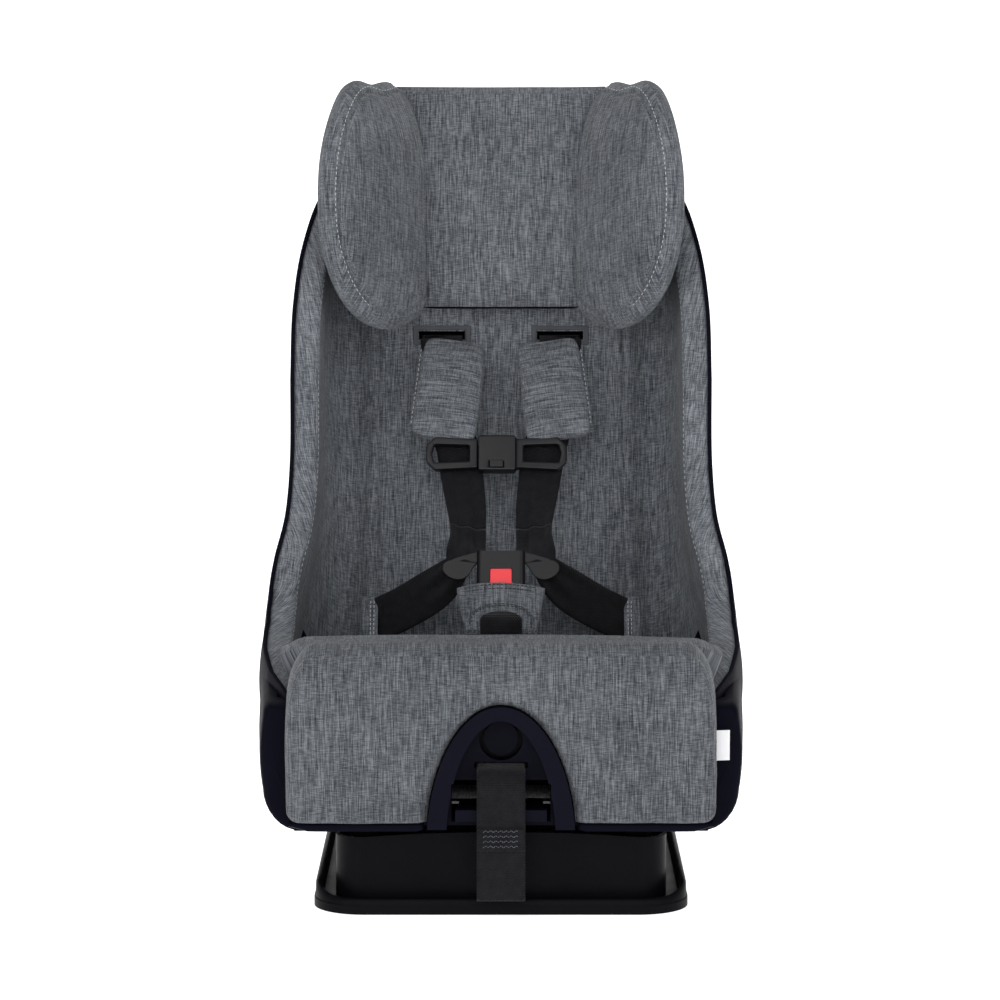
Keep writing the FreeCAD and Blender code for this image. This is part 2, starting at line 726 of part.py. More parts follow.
def make_front():
    outer = arch_prism("arch_outer", "arch_half", "arch_tall", "arch_front", "arch_back")
    recess = arch_prism("arch_recess", "arch_in_half", "arch_in_tall", "arch_front - 3",
                        "arch_floor")
    well = rod("arch_well", "well_radius", 40, (0, "arch_front", "well_z"), (0, 1, 0))
    finger = box("finger_gap", ("-finger_half", "finger_half"), ("arch_front", -190),
                 ("finger_low", "finger_high"))
    strap_slot = box("arch_strap_slot", (-21, 21), ("arch_front", -190), (118.6, 123))
    part(cut("arch_trim", outer, [recess, well, finger, strap_slot]))

    panel = box("panel_plate", (-161, 161), (-196.5, -193.5), (70, 150))
    window = box("panel_window", (-45, 45), (-200, -190), (60, 160))
    part(cut("front_panel", panel, [window]))

    housing = box("housing_block", (-26, 26), (-192, -160), (117, "deck_z - 0.5"))
    passage = box("housing_passage", (-20.5, 20.5), (-195, -155), (119.3, 124))
    cavity = box("housing_cavity", (-16, 16), (-186, -164), (123, 137))
    bore = rod("housing_bore", 5.6, 20, (0, -194, "well_z"), (0, 1, 0))
    part(cut("adjuster_housing", housing, [passage, cavity, bore]))
    cam = rod("cam_barrel", 5, 30, (-15, -175, 131), (1, 0, 0))
    tooth = box("cam_tooth", (-14, 14), (-177, -173), (124.6, 131))
    part(fuse("adjuster_cam", [cam, tooth]))
    cap = rod("button_cap", "button_radius", 8, (0, -207, "well_z"), (0, 1, 0))
    stem = rod("button_stem", 4.8, 14, (0, -200, "well_z"), (0, 1, 0))
    part(fuse("harness_button", [cap, stem]))

    front = "handle_front"
    grip = box("handle_grip", ("-handle_half", "handle_half"), (f"-{front}", f"-{front} + 11"),
               ("handle_z - 5", "handle_z + 4"))
    neck = box("handle_neck", (-34, 34), (f"-{front} + 10", -106), ("handle_z - 4.5", "handle_z - 1.5"))
    pieces = [grip, neck]
    for name, side in SIDES:
        design = Design(f"handle_ramp_{name}")
        ramp = [(-125, 82.5), (-125, 74), (-105, 56), (-40, 56), (-40, 69.7), (-60, 63),
                (-68, 63), (-68, 76), (-97, 82.5)]
        design.pad(design.sketch("YZ_Plane", [ramp], f"{side} * 32"), 4)
        pieces.append(design.body)
    part(fuse("recline_handle", pieces))
    part(rod("recline_lock_bar", "bar_radius", "2 * bar_half", ("-bar_half", "bar_y", "bar_z"),
             (1, 0, 0)))


def make_seat_cushion():
    design = Design("cushion_roll")
    roll = [("apron_back", "roll_bottom"), ("roll_front + 6", "roll_bottom"),
            ("roll_front", "roll_bottom + 40"), ("roll_front", "roll_top - 40"),
            ("roll_front + 10", "roll_top - 17"), ("roll_front + 30", "roll_top - 4"),
            ("roll_front + 50", "roll_top"), (-188, "roll_top"), (-188, "deck_z"),
            ("apron_back", "deck_z")]
    design.pad(design.sketch("YZ_Plane", [roll]), "2 * cushion_half")
    rest = Design("cushion_seat")
    seat = [(-188, "deck_z"), ("seat_rear_y", "deck_z"), ("seat_rear_y", "seat_rear_z"),
            (-140, "roll_top - 1"), (-188, "roll_top - 1")]
    rest.pad(rest.sketch("YZ_Plane", [seat]), "2 * seat_half")
    clearance = arch_prism("cushion_arch", "arch_half + 0.7", "arch_tall + 0.7",
                           "arch_front - 10", "arch_back + 1")
    button_room = rod("cushion_button_room", "well_radius", 20, (0, "arch_back - 5", "well_z"),
                      (0, 1, 0))
    crotch = box("cushion_slot", (-23, 23), (-30, -6), (100, 240))
    part(cut("seat_cushion", fuse("cushion_foam", [design.body, rest.body]),
             [clearance, button_room, crotch]))


def make_back():
    slab = box("back_slab", ("-back_half", "back_half"), (0, "back_thick"), ("back_low", "back_high"))
    notches = [box(f"hip_notch_{name}", (f"{side} * 122 - 16", f"{side} * 122 + 16"),
                   (-5, "back_thick + 5"), ("back_low - 5", -117)) for name, side in SIDES]
    pad = cut("back_pad", slab, slot_boxes("back", -5, "back_thick + 5") + notches)
    part(in_back_frame(pad))

    bezels = []
    for index, slot in enumerate(slot_boxes("bezel", -1.2, 2)):
        side = SIDES[index // 2][1]
        middle = f"slot_low + {index % 2} * slot_pitch"
        plate = box(f"bezel_{index}", (f"{side} * slot_x - 26", f"{side} * slot_x + 26"),
                    (-1.2, -0.1), (f"{middle} - 9", f"{middle} + 9"))
        bezels.append(cut(f"bezel_ring_{index}", plate, [slot]))
    part(in_back_frame(group("slot_bezels", bezels)))

    block = box("guide_block", (-32, 32), (26, 40.4), (195, 248))
    bores = [rod(f"guide_bore_{name}", "post_radius + 0.3", 80,
                 (f"{side} * post_x", "post_depth", 180)) for name, side in SIDES]
    part(in_back_frame(cut("post_guide", block, bores)))

    for name, side in SIDES:
        plate = box(f"hip_plate_{name}", (f"{side} * 127 - 11", f"{side} * 127 + 11"),
                    (118, 121), (184, 226))
        hole = box(f"hip_hole_{name}", (f"{side} * 127 - 3", f"{side} * 127 + 3"),
                   (115, 125), (187, 223))
        part(cut(f"hip_anchor_{name}", plate, [hole]))
    anchor = box("crotch_plate", (-25, 25), (-32, -4), (144, 147))
    gap = box("crotch_hole", (-20, 20), (-20.5, -15.5), (140, 150))
    part(cut("crotch_anchor", anchor, [gap]))

    splitter = Design("splitter")
    plate = [(-30, -97), (30, -97), (30, -52), (-30, -52)]
    lower = [(-20, -91), (20, -91), (20, -77), (-20, -77)]
    upper = [(-21, -64), (21, -64), (21, -57), (-21, -57)]
    splitter.pad(splitter.sketch("XZ_Plane", [plate, lower, upper], -57), 3)
    part(in_back_frame(splitter.body), "splitter_plate")


# ---------------------------------------------------------------- headrest

def make_headrest():
    foam = box("head_foam", ("-head_half + 0.5", "head_half - 0.5"),
               ("head_front", "head_front + head_pad - 0.3"), ("head_low", "head_high"))
    part(in_back_frame(foam), "head_pad")
    run_x = "cos(wing_turn * 1 deg)"
    run_y = "sin(wing_turn * 1 deg)"

    def wing_place(run, depth):
        """A point of the wing's plan: along it from the crease, and behind its face."""
        return (f"head_half + ({run}) * {run_x} + ({depth}) * {run_y}",
                f"head_front - ({run}) * {run_y} + ({depth}) * {run_x}")

    across_wing = Vector(math.sin(math.radians(DIM["wing_turn"])),
                         math.cos(math.radians(DIM["wing_turn"])), 0)
    outer_side = DIM["head_half"] + 30

    def rounded(design):
        """Rounds the outer corners of the wing."""
        middle = (DIM["wing_low"] + DIM["wing_high"]) / 2
        edge = both(along(across_wing), at_corner(x=outer_side))
        design.round(70, both(edge, at_corner(z=middle)))
        design.round(56, both(edge, at_corner(z=-middle)))

    wing = Design("wing")
    wing.pad(wing.sketch("XY_Plane", [[
        wing_place(0, 0), wing_place("wing_wide", 0), wing_place("wing_wide", "wing_pad"),
        wing_place(0, "wing_pad")]], "wing_low"), "wing_high - wing_low", both_ways=False)
    rounded(wing)
    right = in_back_frame(wing.body)
    part(right, "head_wing_right")
    part(mirrored("head_wing_left", right))

    back_face = "head_front + head_pad + head_wall"
    face = "wing_pad + 0.3"
    middle = Design("head_shell_middle")
    middle.pad(middle.sketch("XY_Plane", [[
        (0, "head_front + head_pad"), ("head_half + 1", "head_front + head_pad"),
        wing_place(5, face), wing_place(5, f"{face} + wing_wall"),
        ("head_half + 8", back_face), (0, back_face)]],
        "head_low + 2"), "head_high - head_low - 3", both_ways=False)
    flank = Design("head_shell_flank")
    flank.pad(flank.sketch("XY_Plane", [[
        wing_place(0, face), wing_place("wing_wide - 1", face),
        wing_place("wing_wide - 1", f"{face} + wing_wall"), wing_place(0, f"{face} + wing_wall")]],
        "wing_low + 1"), "wing_high - wing_low - 2", both_ways=False)
    rounded(flank)
    half = fuse("head_shell_half", [middle.body, flank.body])
    part(in_back_frame(fuse("headrest_shell", [half, mirrored("head_shell_twin", half)])))

    posts = [rod(f"post_{name}", "post_radius", "post_high - post_low",
                 (f"{side} * post_x", "post_depth", "post_low")) for name, side in SIDES]
    top = box("bracket_top", (-28, 28), (f"{back_face} + 0.2", "post_depth + 6"),
              ("post_high - 8", "post_high"))
    front = box("bracket_front", (-28, 28), (f"{back_face} + 0.2", f"{back_face} + 3.2"),
                (205, "post_high - 7"))
    lugs = [box(f"lug_{name}", (f"{side} * 26 - 2", f"{side} * 26 + 2"), (-2, 8),
                ("post_high - 1", "lever_pivot + 5")) for name, side in SIDES]
    pin_hole = rod("lug_hole", 2.2, 70, (-35, 3, "lever_pivot"), (1, 0, 0))
    frame = cut("headrest_frame", fuse("bracket", posts + [top, front] + lugs), [pin_hole])
    part(in_back_frame(frame))
    pin = rod("lever_pin_rod", 2.2, 58, (-29, 3, "lever_pivot"), (1, 0, 0))
    part(in_back_frame(pin), "lever_pin")
    barrel = rod("lever_barrel", 5, 47, (-23.5, 3, "lever_pivot"), (1, 0, 0))
    blade = box("lever_blade", (-23.5, 23.5), (1, 5), ("lever_pivot", "lever_pivot + 22"))
    bore = rod("lever_bore", 2.5, 60, (-30, 3, "lever_pivot"), (1, 0, 0))
    part(in_back_frame(cut("headrest_lever", fuse("lever", [barrel, blade]), [bore])))


# ---------------------------------------------------------------- harness

def web(points, across, wide=None):
    """A strip of webbing along a line of points; across gives its width's direction at each."""
    half = (wide or DIM["web_wide"]) / 2
    thick = DIM["web_thick"] / 2
    sections = []
    for index, point in enumerate(points):
        before = points[max(index - 1, 0)]
        after = points[min(index + 1, len(points) - 1)]
        way = (after - before).normalize()
        side = Vector(across[index])
        side = (side - way * side.dot(way)).normalize()
        out = way.cross(side)
        corners = [point + side * (half * a) + out * (thick * b)
                   for a, b in ((-1, -1), (1, -1), (1, 1), (-1, 1))]
        sections.append(Part.makePolygon(corners + corners[:1]))
    solid = Part.makeLoft(sections, True, True)
    if solid.Volume < 0:
        solid.reverse()
    return solid


def make_webbing():
    level = Vector(1, 0, 0)
    for name, side in SIDES:
        def to_side(place):
            return Vector(side * place[0], place[1], place[2])

        rear = [back_point(side * 20, 53, -60), back_point(side * 34, 53, -5),
                back_point(side * 52, 53.8, 80), back_point(side * 54, 53.2, 99),
                back_point(side * 54, 49, 108), back_point(side * 54, 40, 109.5)]
        front = [(54, 126, 458.5), (49.5, 100, 416), (43, 78, 372), (33.5, 68, 349),
                 (30, 51.5, 322), (27, 33.5, 293), (29, 22.5, 272)]
        points = rear + [to_side(p) for p in front]
        solid_part(f"shoulder_strap_{name}", web(points, [level] * len(points)))

        lap = [(31, 16.5, 256), (58, 32, 240), (90, 58, 222), (110, 82, 212), (121, 98, 208),
               (127, 116, 206)]
        ways = [(0.25, 0, 1), (0.45, 0, 1), (0.4, 0, 1), (0.15, 0.1, 1), (0, 0.17, 1), (0, 0.17, 1)]
        across = [Vector(side * w[0], w[1], w[2]) for w in ways]
        solid_part(f"lap_strap_{name}", web([to_side(p) for p in lap], across))

        pad = Design(f"shoulder_foam_{name}")
        pad.pad(pad.sketch("XZ_Plane", [[(-26, -46), (26, -46), (26, 46), (-26, 46)]], 7.4), 9)
        lean = Rotation(Vector(0, 1, 0), -side * 7).multiply(Rotation(ACROSS, -27.5))
        pad.body.Placement = Placement(to_side((48.5, 97, 409)), lean)
        part(pad.body, f"shoulder_pad_{name}")

    crotch = [(0, -18, 141), (0, -18, 165), (0, -15, 190), (0, -9, 212)]
    solid_part("crotch_strap", web([Vector(*p) for p in crotch], [level] * 4))
    lower = [back_point(0, 54, -80), (0, 160, 247), (0, 146, 190), (0, 131, 140),
             (0, 112, 106), (0, 92, 100.5), (0, 0, 100), (0, -115, 106), (0, -158, 121.5),
             (0, -212, 121.2)]
    lower = [Vector(*p) for p in lower]
    solid_part("adjuster_strap_inner", web(lower, [level] * len(lower)))
    tail = [(0, -212.2, 121.2), (0, -222, 119), (0, -230, 111), (0, -232.3, 95), (0, -232.6, 60),
            (0, -232.2, 19)]
    solid_part("adjuster_strap_tail", web([Vector(*p) for p in tail], [level] * 6))


def make_buckle():
    half = "buckle_tall / 2"
    case = Design("buckle_body")
    rim = ("buckle_wide / 2", "buckle_thick / 2")
    case.pad(case.sketch("XY_Plane", [[
        (f"-{rim[0]}", f"-{rim[1]}"), (rim[0], f"-{rim[1]}"), rim, (f"-{rim[0]}", rim[1])]]),
        "buckle_tall")
    case.round(5, along((0, 0, 1)))
    cavity = box("buckle_cavity", (-18.3, 18.3), (-4.6, 4.6), (f"-{half} + 6", f"{half} + 1"))
    window = box("button_window", (-9.7, 9.7), (-12, -4), (-2.8, 11.8))
    part(in_buckle_frame(cut("buckle_case", case.body, [cavity, window])))
    button = box("buckle_button_cap", (-9.3, 9.3), (-9.4, -6.2), (-2.4, 11.4))
    part(in_buckle_frame(button), "buckle_button")
    spring = rod("buckle_spring_coil", 3, 2.6, (0, -6.2, 4.5), (0, 1, 0))
    part(in_buckle_frame(spring), "buckle_spring")
    latch = box("buckle_latch_plate", (-17, 17), (2.4, 4), (-20, 16))
    part(in_buckle_frame(latch), "buckle_latch")

    tongue = Design("tongue")
    outline = [(1.5, 3), (16.5, 3), (16.5, 31), (23.5, 31), (23.5, 10), (30, 3), (40, 3),
               (43, 10), (43, 32), (36, 41), (8, 41), (1.5, 35)]
    slot = [(28, 10), (37, 10), (37, 31), (28, 34)]
    tongue.pad(tongue.sketch("XZ_Plane", [outline, slot]), "tongue_thick")
    right = in_buckle_frame(tongue.body)
    part(right, "tongue_right")
    part(mirrored("tongue_left", right))

    pad = Design("crotch_foam")
    pad.pad(pad.sketch("XZ_Plane", [[(-25.5, -46), (25.5, -46), (36, 0), (-36, 0)]], 16), 12)
    part(in_buckle_frame(pad.body), "crotch_pad")


def make_chest_clip():
    top = "clip_tall / 2"

    def loop(name, side):
        outline = [(f"{side} * 16.4", f"-{top} + 2"), (f"{side} * (clip_half - 8)", f"-{top}"),
                   (f"{side} * clip_half", f"-{top} + 8"), (f"{side} * clip_half", f"{top} - 8"),
                   (f"{side} * (clip_half - 8)", top), (f"{side} * 16.4", f"{top} - 2")]
        gap = [(f"{side} * 24", -8), (f"{side} * 55", -9), (f"{side} * 57", 0),
               (f"{side} * 55", 9), (f"{side} * 24", 8)]
        design = Design(name)
        design.pad(design.sketch("XZ_Plane", [outline, gap]), 7)
        return design.body

    prong = box("clip_prong", (-17, 10), (-1.2, 1.2), (-4.5, 4.5))
    part(in_clip_frame(fuse("clip_left", [loop("clip_loop_left", -1), prong])))
    cover = box("clip_cover", (-16, 17), ("-clip_thick / 2", "clip_thick / 2"),
                (f"-{top} - 1", f"{top} + 1"))
    cavity = box("clip_cavity", (-20, 12), (-2.8, 2.8), (-7, 7))
    well = box("clip_button_well", (-6.4, 6.4), (-8, -2.7), (-14.6, -7.4))
    body = fuse("clip_body", [loop("clip_loop_right", 1), cover])
    part(in_clip_frame(cut("clip_right", body, [cavity, well])))
    button = box("clip_button_tab", (-6, 6), (-6.6, -4.6), (-14.2, -7.8))
    part(in_clip_frame(button), "clip_button")


def make_tether():
    """The top tether, stowed down the back of the shell."""
    anchor = box("tether_plate", (-24, 24), (50, 52.8), (192, 222))
    gap = box("tether_gap", (-14, 14), (40, 60), (197, 207))
    part(in_back_frame(cut("tether_anchor", anchor, [gap])))
    points = [back_point(0, 51, 204), back_point(0, 54.6, 199), back_point(0, 54, 160),
              back_point(0, 55.5, 130), back_point(0, 55.5, 98), back_point(0, 56.6, 76),
              back_point(0, 56.7, 61.5), back_point(0, 52.5, 56)]
    solid_part("tether_strap", web(points, [ACROSS] * len(points), wide=25))
    body = box("adjuster_block", (-17, 17), (51, 62), (96, 132))
    way = box("adjuster_way", (-13.2, 13.2), (53, 58), (90, 140))
    part(in_back_frame(cut("tether_adjuster", body, [way])))
    hook = Design("hook")
    outline = [(-15, 64), (-15, 50), (-9, 44), (-9, 18), (-4, 10), (6, 8), (13, 14), (13, 30),
               (7, 30), (7, 18), (2, 15), (-2, 19), (-2, 46), (15, 50), (15, 64)]
    eye = [(-13, 60), (13, 60), (13, 53), (-13, 53)]
    hook.pad(hook.sketch("XZ_Plane", [outline, eye], -52.5), 4)
    part(in_back_frame(hook.body), "tether_hook")


def write_parts():
    """Checks every object of the document and writes one file for each sub-part."""
    doc.recompute()
    for obj in doc.Objects:
        if {"Invalid", "Error"} & set(obj.State):
            raise SystemExit(f"{obj.Name} failed: {obj.State}")
    os.makedirs("parts", exist_ok=True)
    for obj in parts:
        shape = obj.Shape
        if shape.isNull() or not shape.isValid() or not shape.Solids or shape.Volume <= 0:
            raise SystemExit(f"{obj.Label} has no valid solid")
        shape.exportStep(f"parts/{obj.Label}.step")
    print(len(parts), "parts")


make_base()
make_shell()
make_bolsters()
make_front()
make_seat_cushion()
make_back()
make_headrest()
make_webbing()
make_buckle()
make_chest_clip()
make_tether()
write_parts()
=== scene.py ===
"""Looks of the convertible car seat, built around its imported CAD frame.

Lengths are in metres in the scene and in millimetres wherever MM brings them there.
"""
import bmesh
import bpy
import json
import math
import numpy as np
from mathutils import Matrix, Vector, noise


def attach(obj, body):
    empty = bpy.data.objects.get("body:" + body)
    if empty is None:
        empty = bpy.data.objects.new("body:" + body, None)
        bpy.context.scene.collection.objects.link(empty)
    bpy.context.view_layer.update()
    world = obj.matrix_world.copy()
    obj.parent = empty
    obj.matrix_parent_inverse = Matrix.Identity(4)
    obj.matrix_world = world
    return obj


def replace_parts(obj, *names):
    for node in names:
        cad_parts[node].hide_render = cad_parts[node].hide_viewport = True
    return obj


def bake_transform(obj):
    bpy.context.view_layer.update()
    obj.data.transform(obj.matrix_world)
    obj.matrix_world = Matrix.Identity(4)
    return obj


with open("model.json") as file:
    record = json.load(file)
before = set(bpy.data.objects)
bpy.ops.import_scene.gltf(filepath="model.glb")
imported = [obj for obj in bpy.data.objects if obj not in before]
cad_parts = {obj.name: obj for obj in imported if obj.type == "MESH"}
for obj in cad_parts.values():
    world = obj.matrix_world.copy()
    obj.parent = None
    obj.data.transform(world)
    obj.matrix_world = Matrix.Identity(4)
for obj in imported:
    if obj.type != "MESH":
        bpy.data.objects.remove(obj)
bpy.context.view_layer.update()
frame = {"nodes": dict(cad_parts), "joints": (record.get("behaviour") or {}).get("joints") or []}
nodes = frame["nodes"]
joints = {joint["name"]: joint for joint in frame["joints"]}
MM = 0.001
SIDES = (("left", -1), ("right", 1))
WEB_WIDE = 38
TETHER_WIDE = 25


def add_to_scene(name, data):
    """A new object with its data, linked to the scene."""
    obj = bpy.data.objects.new(name, data)
    bpy.context.scene.collection.objects.link(obj)
    return obj


# ---------------------------------------------------------------- camera, floor and light

CAMERA_PLACE = (0.0, -2.189, 0.4574)
CAMERA_LOOKS_DOWN = math.radians(3.6875)
CAMERA_LENS = 91.27

camera = add_to_scene("camera", bpy.data.cameras.new("camera"))
camera.location = CAMERA_PLACE
camera.rotation_euler = (math.radians(90) - CAMERA_LOOKS_DOWN, 0, 0)
camera.data.lens = CAMERA_LENS
camera.data.shift_x = -0.001
bpy.context.scene.camera = camera
bpy.context.scene.view_settings.view_transform = "Standard"


def make_stage():
    """A pale floor that curves up into a backdrop."""
    front, bend, radius, high, half = -4.0, 2.2, 1.2, 4.5, 5
    mesh = bmesh.new()
    profile = [(front, 0.0), (bend, 0.0)]
    profile += [(bend + radius * math.sin(a), radius - radius * math.cos(a))
                for a in np.linspace(0.1, math.pi / 2, 12)]
    profile += [(bend + radius, high)]
    rows = [[mesh.verts.new((x, y, z)) for x in (-half, half)] for y, z in profile]
    for low, high in zip(rows, rows[1:]):
        mesh.faces.new((low[0], low[1], high[1], high[0]))
    data = bpy.data.meshes.new("stage_floor")
    mesh.to_mesh(data)
    for face in data.polygons:
        face.use_smooth = True
    floor = add_to_scene("stage_floor", data)
    material = bpy.data.materials.new("stage_white")
    material.use_nodes = True
    shader = material.node_tree.nodes["Principled BSDF"]
    shader.inputs["Base Color"].default_value = (0.95, 0.95, 0.95, 1)
    shader.inputs["Roughness"].default_value = 0.35
    shader.inputs["Specular IOR Level"].default_value = 0.25
    shader.inputs["Emission Color"].default_value = (1, 1, 1, 1)
    shader.inputs["Emission Strength"].default_value = 0.75
    data.materials.append(material)


def area_light(name, place, target, size, power):
    """A rectangular lamp at a place, turned towards a target."""
    light = bpy.data.lights.new(name, "AREA")
    light.shape = "RECTANGLE"
    light.size, light.size_y = size
    light.energy = power
    lamp = add_to_scene(name, light)
    lamp.location = place
    lamp.rotation_euler = (Vector(target) - Vector(place)).to_track_quat("-Z", "Y").to_euler()


def make_light():
    """Soft white light from the world and five large lamps."""
    world = bpy.data.worlds.new("studio")
    world.use_nodes = True
    world.node_tree.nodes["Background"].inputs["Color"].default_value = (1, 1, 1, 1)
    world.node_tree.nodes["Background"].inputs["Strength"].default_value = 0.33
    bpy.context.scene.world = world
    area_light("front", (0, -3.2, 1.1), (0, 0, 0.35), (2.2, 1.6), 33)
    area_light("key", (-0.5, -1.9, 2.3), (0, 0, 0.3), (1.6, 1.2), 13)
    area_light("left_fill", (-1.7, -1.8, 0.8), (0, 0, 0.35), (1.0, 1.8), 14)
    area_light("right_fill", (1.7, -1.8, 0.8), (0, 0, 0.35), (1.0, 1.8), 14)
    area_light("top", (0, 0.6, 2.4), (0, 0, 0.4), (1.6, 1.2), 10)


make_stage()
make_light()

# ---------------------------------------------------------------- materials


class Shader:
    """Short forms for building a node tree."""

    def __init__(self, name, **settings):
        self.material = bpy.data.materials.new(name)
        self.material.use_nodes = True
        self.tree = self.material.node_tree
        self.out = self.tree.nodes["Principled BSDF"]
        for socket, value in settings.items():
            self.out.inputs[socket.replace("_", " ")].default_value = value

    def node(self, kind, **settings):
        made = self.tree.nodes.new("ShaderNode" + kind)
        for key, value in settings.items():
            setattr(made, key, value)
        return made

    def link(self, source, target):
        if isinstance(source, (int, float)):
            target.default_value = source
        else:
            self.tree.links.new(source, target)

    def math(self, operation, first, second=0.0, clamp=False):
        made = self.node("Math", operation=operation, use_clamp=clamp)
        self.link(first, made.inputs[0])
        self.link(second, made.inputs[1])
        return made.outputs[0]

    def noise(self, vector, scale, detail=2.0, rough=0.5):
        made = self.node("TexNoise")
        self.link(vector, made.inputs["Vector"])
        made.inputs["Scale"].default_value = scale
        made.inputs["Detail"].default_value = detail
        made.inputs["Roughness"].default_value = rough
        return made.outputs["Fac"]

    def place(self):
        return self.node("TexCoord").outputs["Object"]

    def scaled(self, vector, scale):
        made = self.node("VectorMath", operation="MULTIPLY")
        self.link(vector, made.inputs[0])
        made.inputs[1].default_value = scale
        return made.outputs[0]

    def ramp(self, value, stops):
        made = self.node("ValToRGB")
        self.link(value, made.inputs["Fac"])
        elements = made.color_ramp.elements
        while len(elements) < len(stops):
            elements.new(0.5)
        for element, (position, colour) in zip(elements, stops):
            element.position = position
            element.color = (*colour, 1)
        return made.outputs["Color"]

    def bump(self, height, strength, distance):
        made = self.node("Bump")
        made.inputs["Strength"].default_value = strength
        made.inputs["Distance"].default_value = distance
        self.link(height, made.inputs["Height"])
        self.tree.links.new(made.outputs["Normal"], self.out.inputs["Normal"])

    def colour(self, output):
        self.tree.links.new(output, self.out.inputs["Base Color"])


def cloth_coordinates(shader):
    """Across and up the cloth, in metres, from the piece's own weave layer."""
    split = shader.node("SeparateXYZ")
    shader.link(shader.node("UVMap", uv_map="weave").outputs["UV"], split.inputs[0])
    return split.outputs[0], split.outputs[1]


def streaks(shader, across, up, along_scale, cross_scale, seed):
    """Noise drawn out along the cloth by different scales across and up it."""
    joined = shader.node("CombineXYZ")
    shader.link(shader.math("MULTIPLY", across, cross_scale), joined.inputs[0])
    shader.link(shader.math("MULTIPLY", up, along_scale), joined.inputs[1])
    joined.inputs[2].default_value = seed
    return shader.noise(joined.outputs[0], 1.0, 2.0, 0.6)


def heather_cloth(name, brightness, sheen=0.12):
    """A slubbed plain weave of mixed greys, scaled by a brightness; the front and bucket copies use
    it to paint shade and light into the same cloth.
    """
    dark, middle, light = [tuple(c * brightness for c in tone) for tone in (
        (0.026, 0.029, 0.035), (0.092, 0.100, 0.112), (0.205, 0.218, 0.238))]
    shader = Shader(name, Roughness=0.92, Sheen_Weight=sheen, Sheen_Roughness=0.5,
                    Specular_IOR_Level=0.15)
    across, up = cloth_coordinates(shader)
    upright = streaks(shader, across, up, 60, 1150, 0.3)
    lying = streaks(shader, across, up, 1200, 170, 4.7)
    fine = streaks(shader, across, up, 2100, 2100, 9.1)
    soft = shader.noise(shader.place(), 14, 2.0)
    total = shader.math("MULTIPLY", upright, 0.44)
    total = shader.math("ADD", total, shader.math("MULTIPLY", lying, 0.30))
    total = shader.math("ADD", total, shader.math("MULTIPLY", fine, 0.18))
    total = shader.math("ADD", total, shader.math("MULTIPLY", soft, 0.08))
    shader.colour(shader.ramp(total, [(0.39, dark), (0.5, middle), (0.61, light)]))
    period = 2 * math.pi / (1.1 * MM)
    warp = shader.math("SINE", shader.math("MULTIPLY", across, period))
    weft = shader.math("SINE", shader.math("MULTIPLY", up, period))
    weave = shader.math("MULTIPLY", warp, weft)
    height = shader.math("ADD", shader.math("MULTIPLY", weave, 0.35), total)
    shader.bump(height, 0.5, 0.0006)
    return shader.material


def moulded(name, colour, roughness, grain=1400, depth=0.00012, spread=0.08, **settings):
    """Moulded plastic or painted metal with a fine grain and slight wear."""
    shader = Shader(name, Roughness=roughness, **settings)
    place = shader.place()
    wide = shader.noise(place, 22, 3.0)
    low = tuple(c * (1 - spread) for c in colour)
    high = tuple(c * (1 + spread) for c in colour)
    shader.colour(shader.ramp(wide, [(0.3, low), (0.7, high)]))
    rough = shader.math("ADD", shader.math("MULTIPLY", shader.noise(place, 60, 2.0), 0.12),
                        roughness - 0.06)
    shader.tree.links.new(rough, shader.out.inputs["Roughness"])
    shader.bump(shader.noise(place, grain, 1.0), 0.35, depth)
    return shader.material


def webbing_cloth():
    """Black ribbed polyester webbing; the ribs run across the strap."""
    shader = Shader("webbing_black", Roughness=0.6, Sheen_Weight=0.08, Sheen_Roughness=0.35,
                    Specular_IOR_Level=0.1)
    uv = shader.node("UVMap")
    split = shader.node("SeparateXYZ")
    shader.link(uv.outputs["UV"], split.inputs[0])
    across, along = split.outputs[0], split.outputs[1]
    rib = shader.math("SINE", shader.math("MULTIPLY", along, 2 * math.pi / (1.3 * MM)))
    twill = shader.math("SINE", shader.math("MULTIPLY", shader.math(
        "ADD", across, shader.math("MULTIPLY", along, 0.9)), 2 * math.pi / (2.4 * MM)))
    edge = shader.math("GREATER_THAN", shader.math("ABSOLUTE", across), 16.6 * MM)
    height = shader.math("ADD", rib, shader.math("MULTIPLY", twill, 0.8))
    height = shader.math("ADD", height, shader.math("MULTIPLY", edge, 1.6))
    mottle = shader.noise(shader.place(), 160, 3.0)
    blend = shader.math("ADD", shader.math("MULTIPLY", mottle, 0.7),
                        shader.math("MULTIPLY", twill, 0.12))
    shader.colour(shader.ramp(blend, [(0.2, (0.0045, 0.0045, 0.0055)),
                                      (0.7, (0.0115, 0.0120, 0.0150))]))
    shader.bump(height, 0.6, 0.0003)
    return shader.material


CLOTH = heather_cloth("cloth_heather", 0.94)
# Painted shade: the same cloth made darker for the front roll, standing in for the shade on it.
CLOTH_FRONT_PAINTED_SHADE = heather_cloth("cloth_heather_front_painted_shade", 0.80)
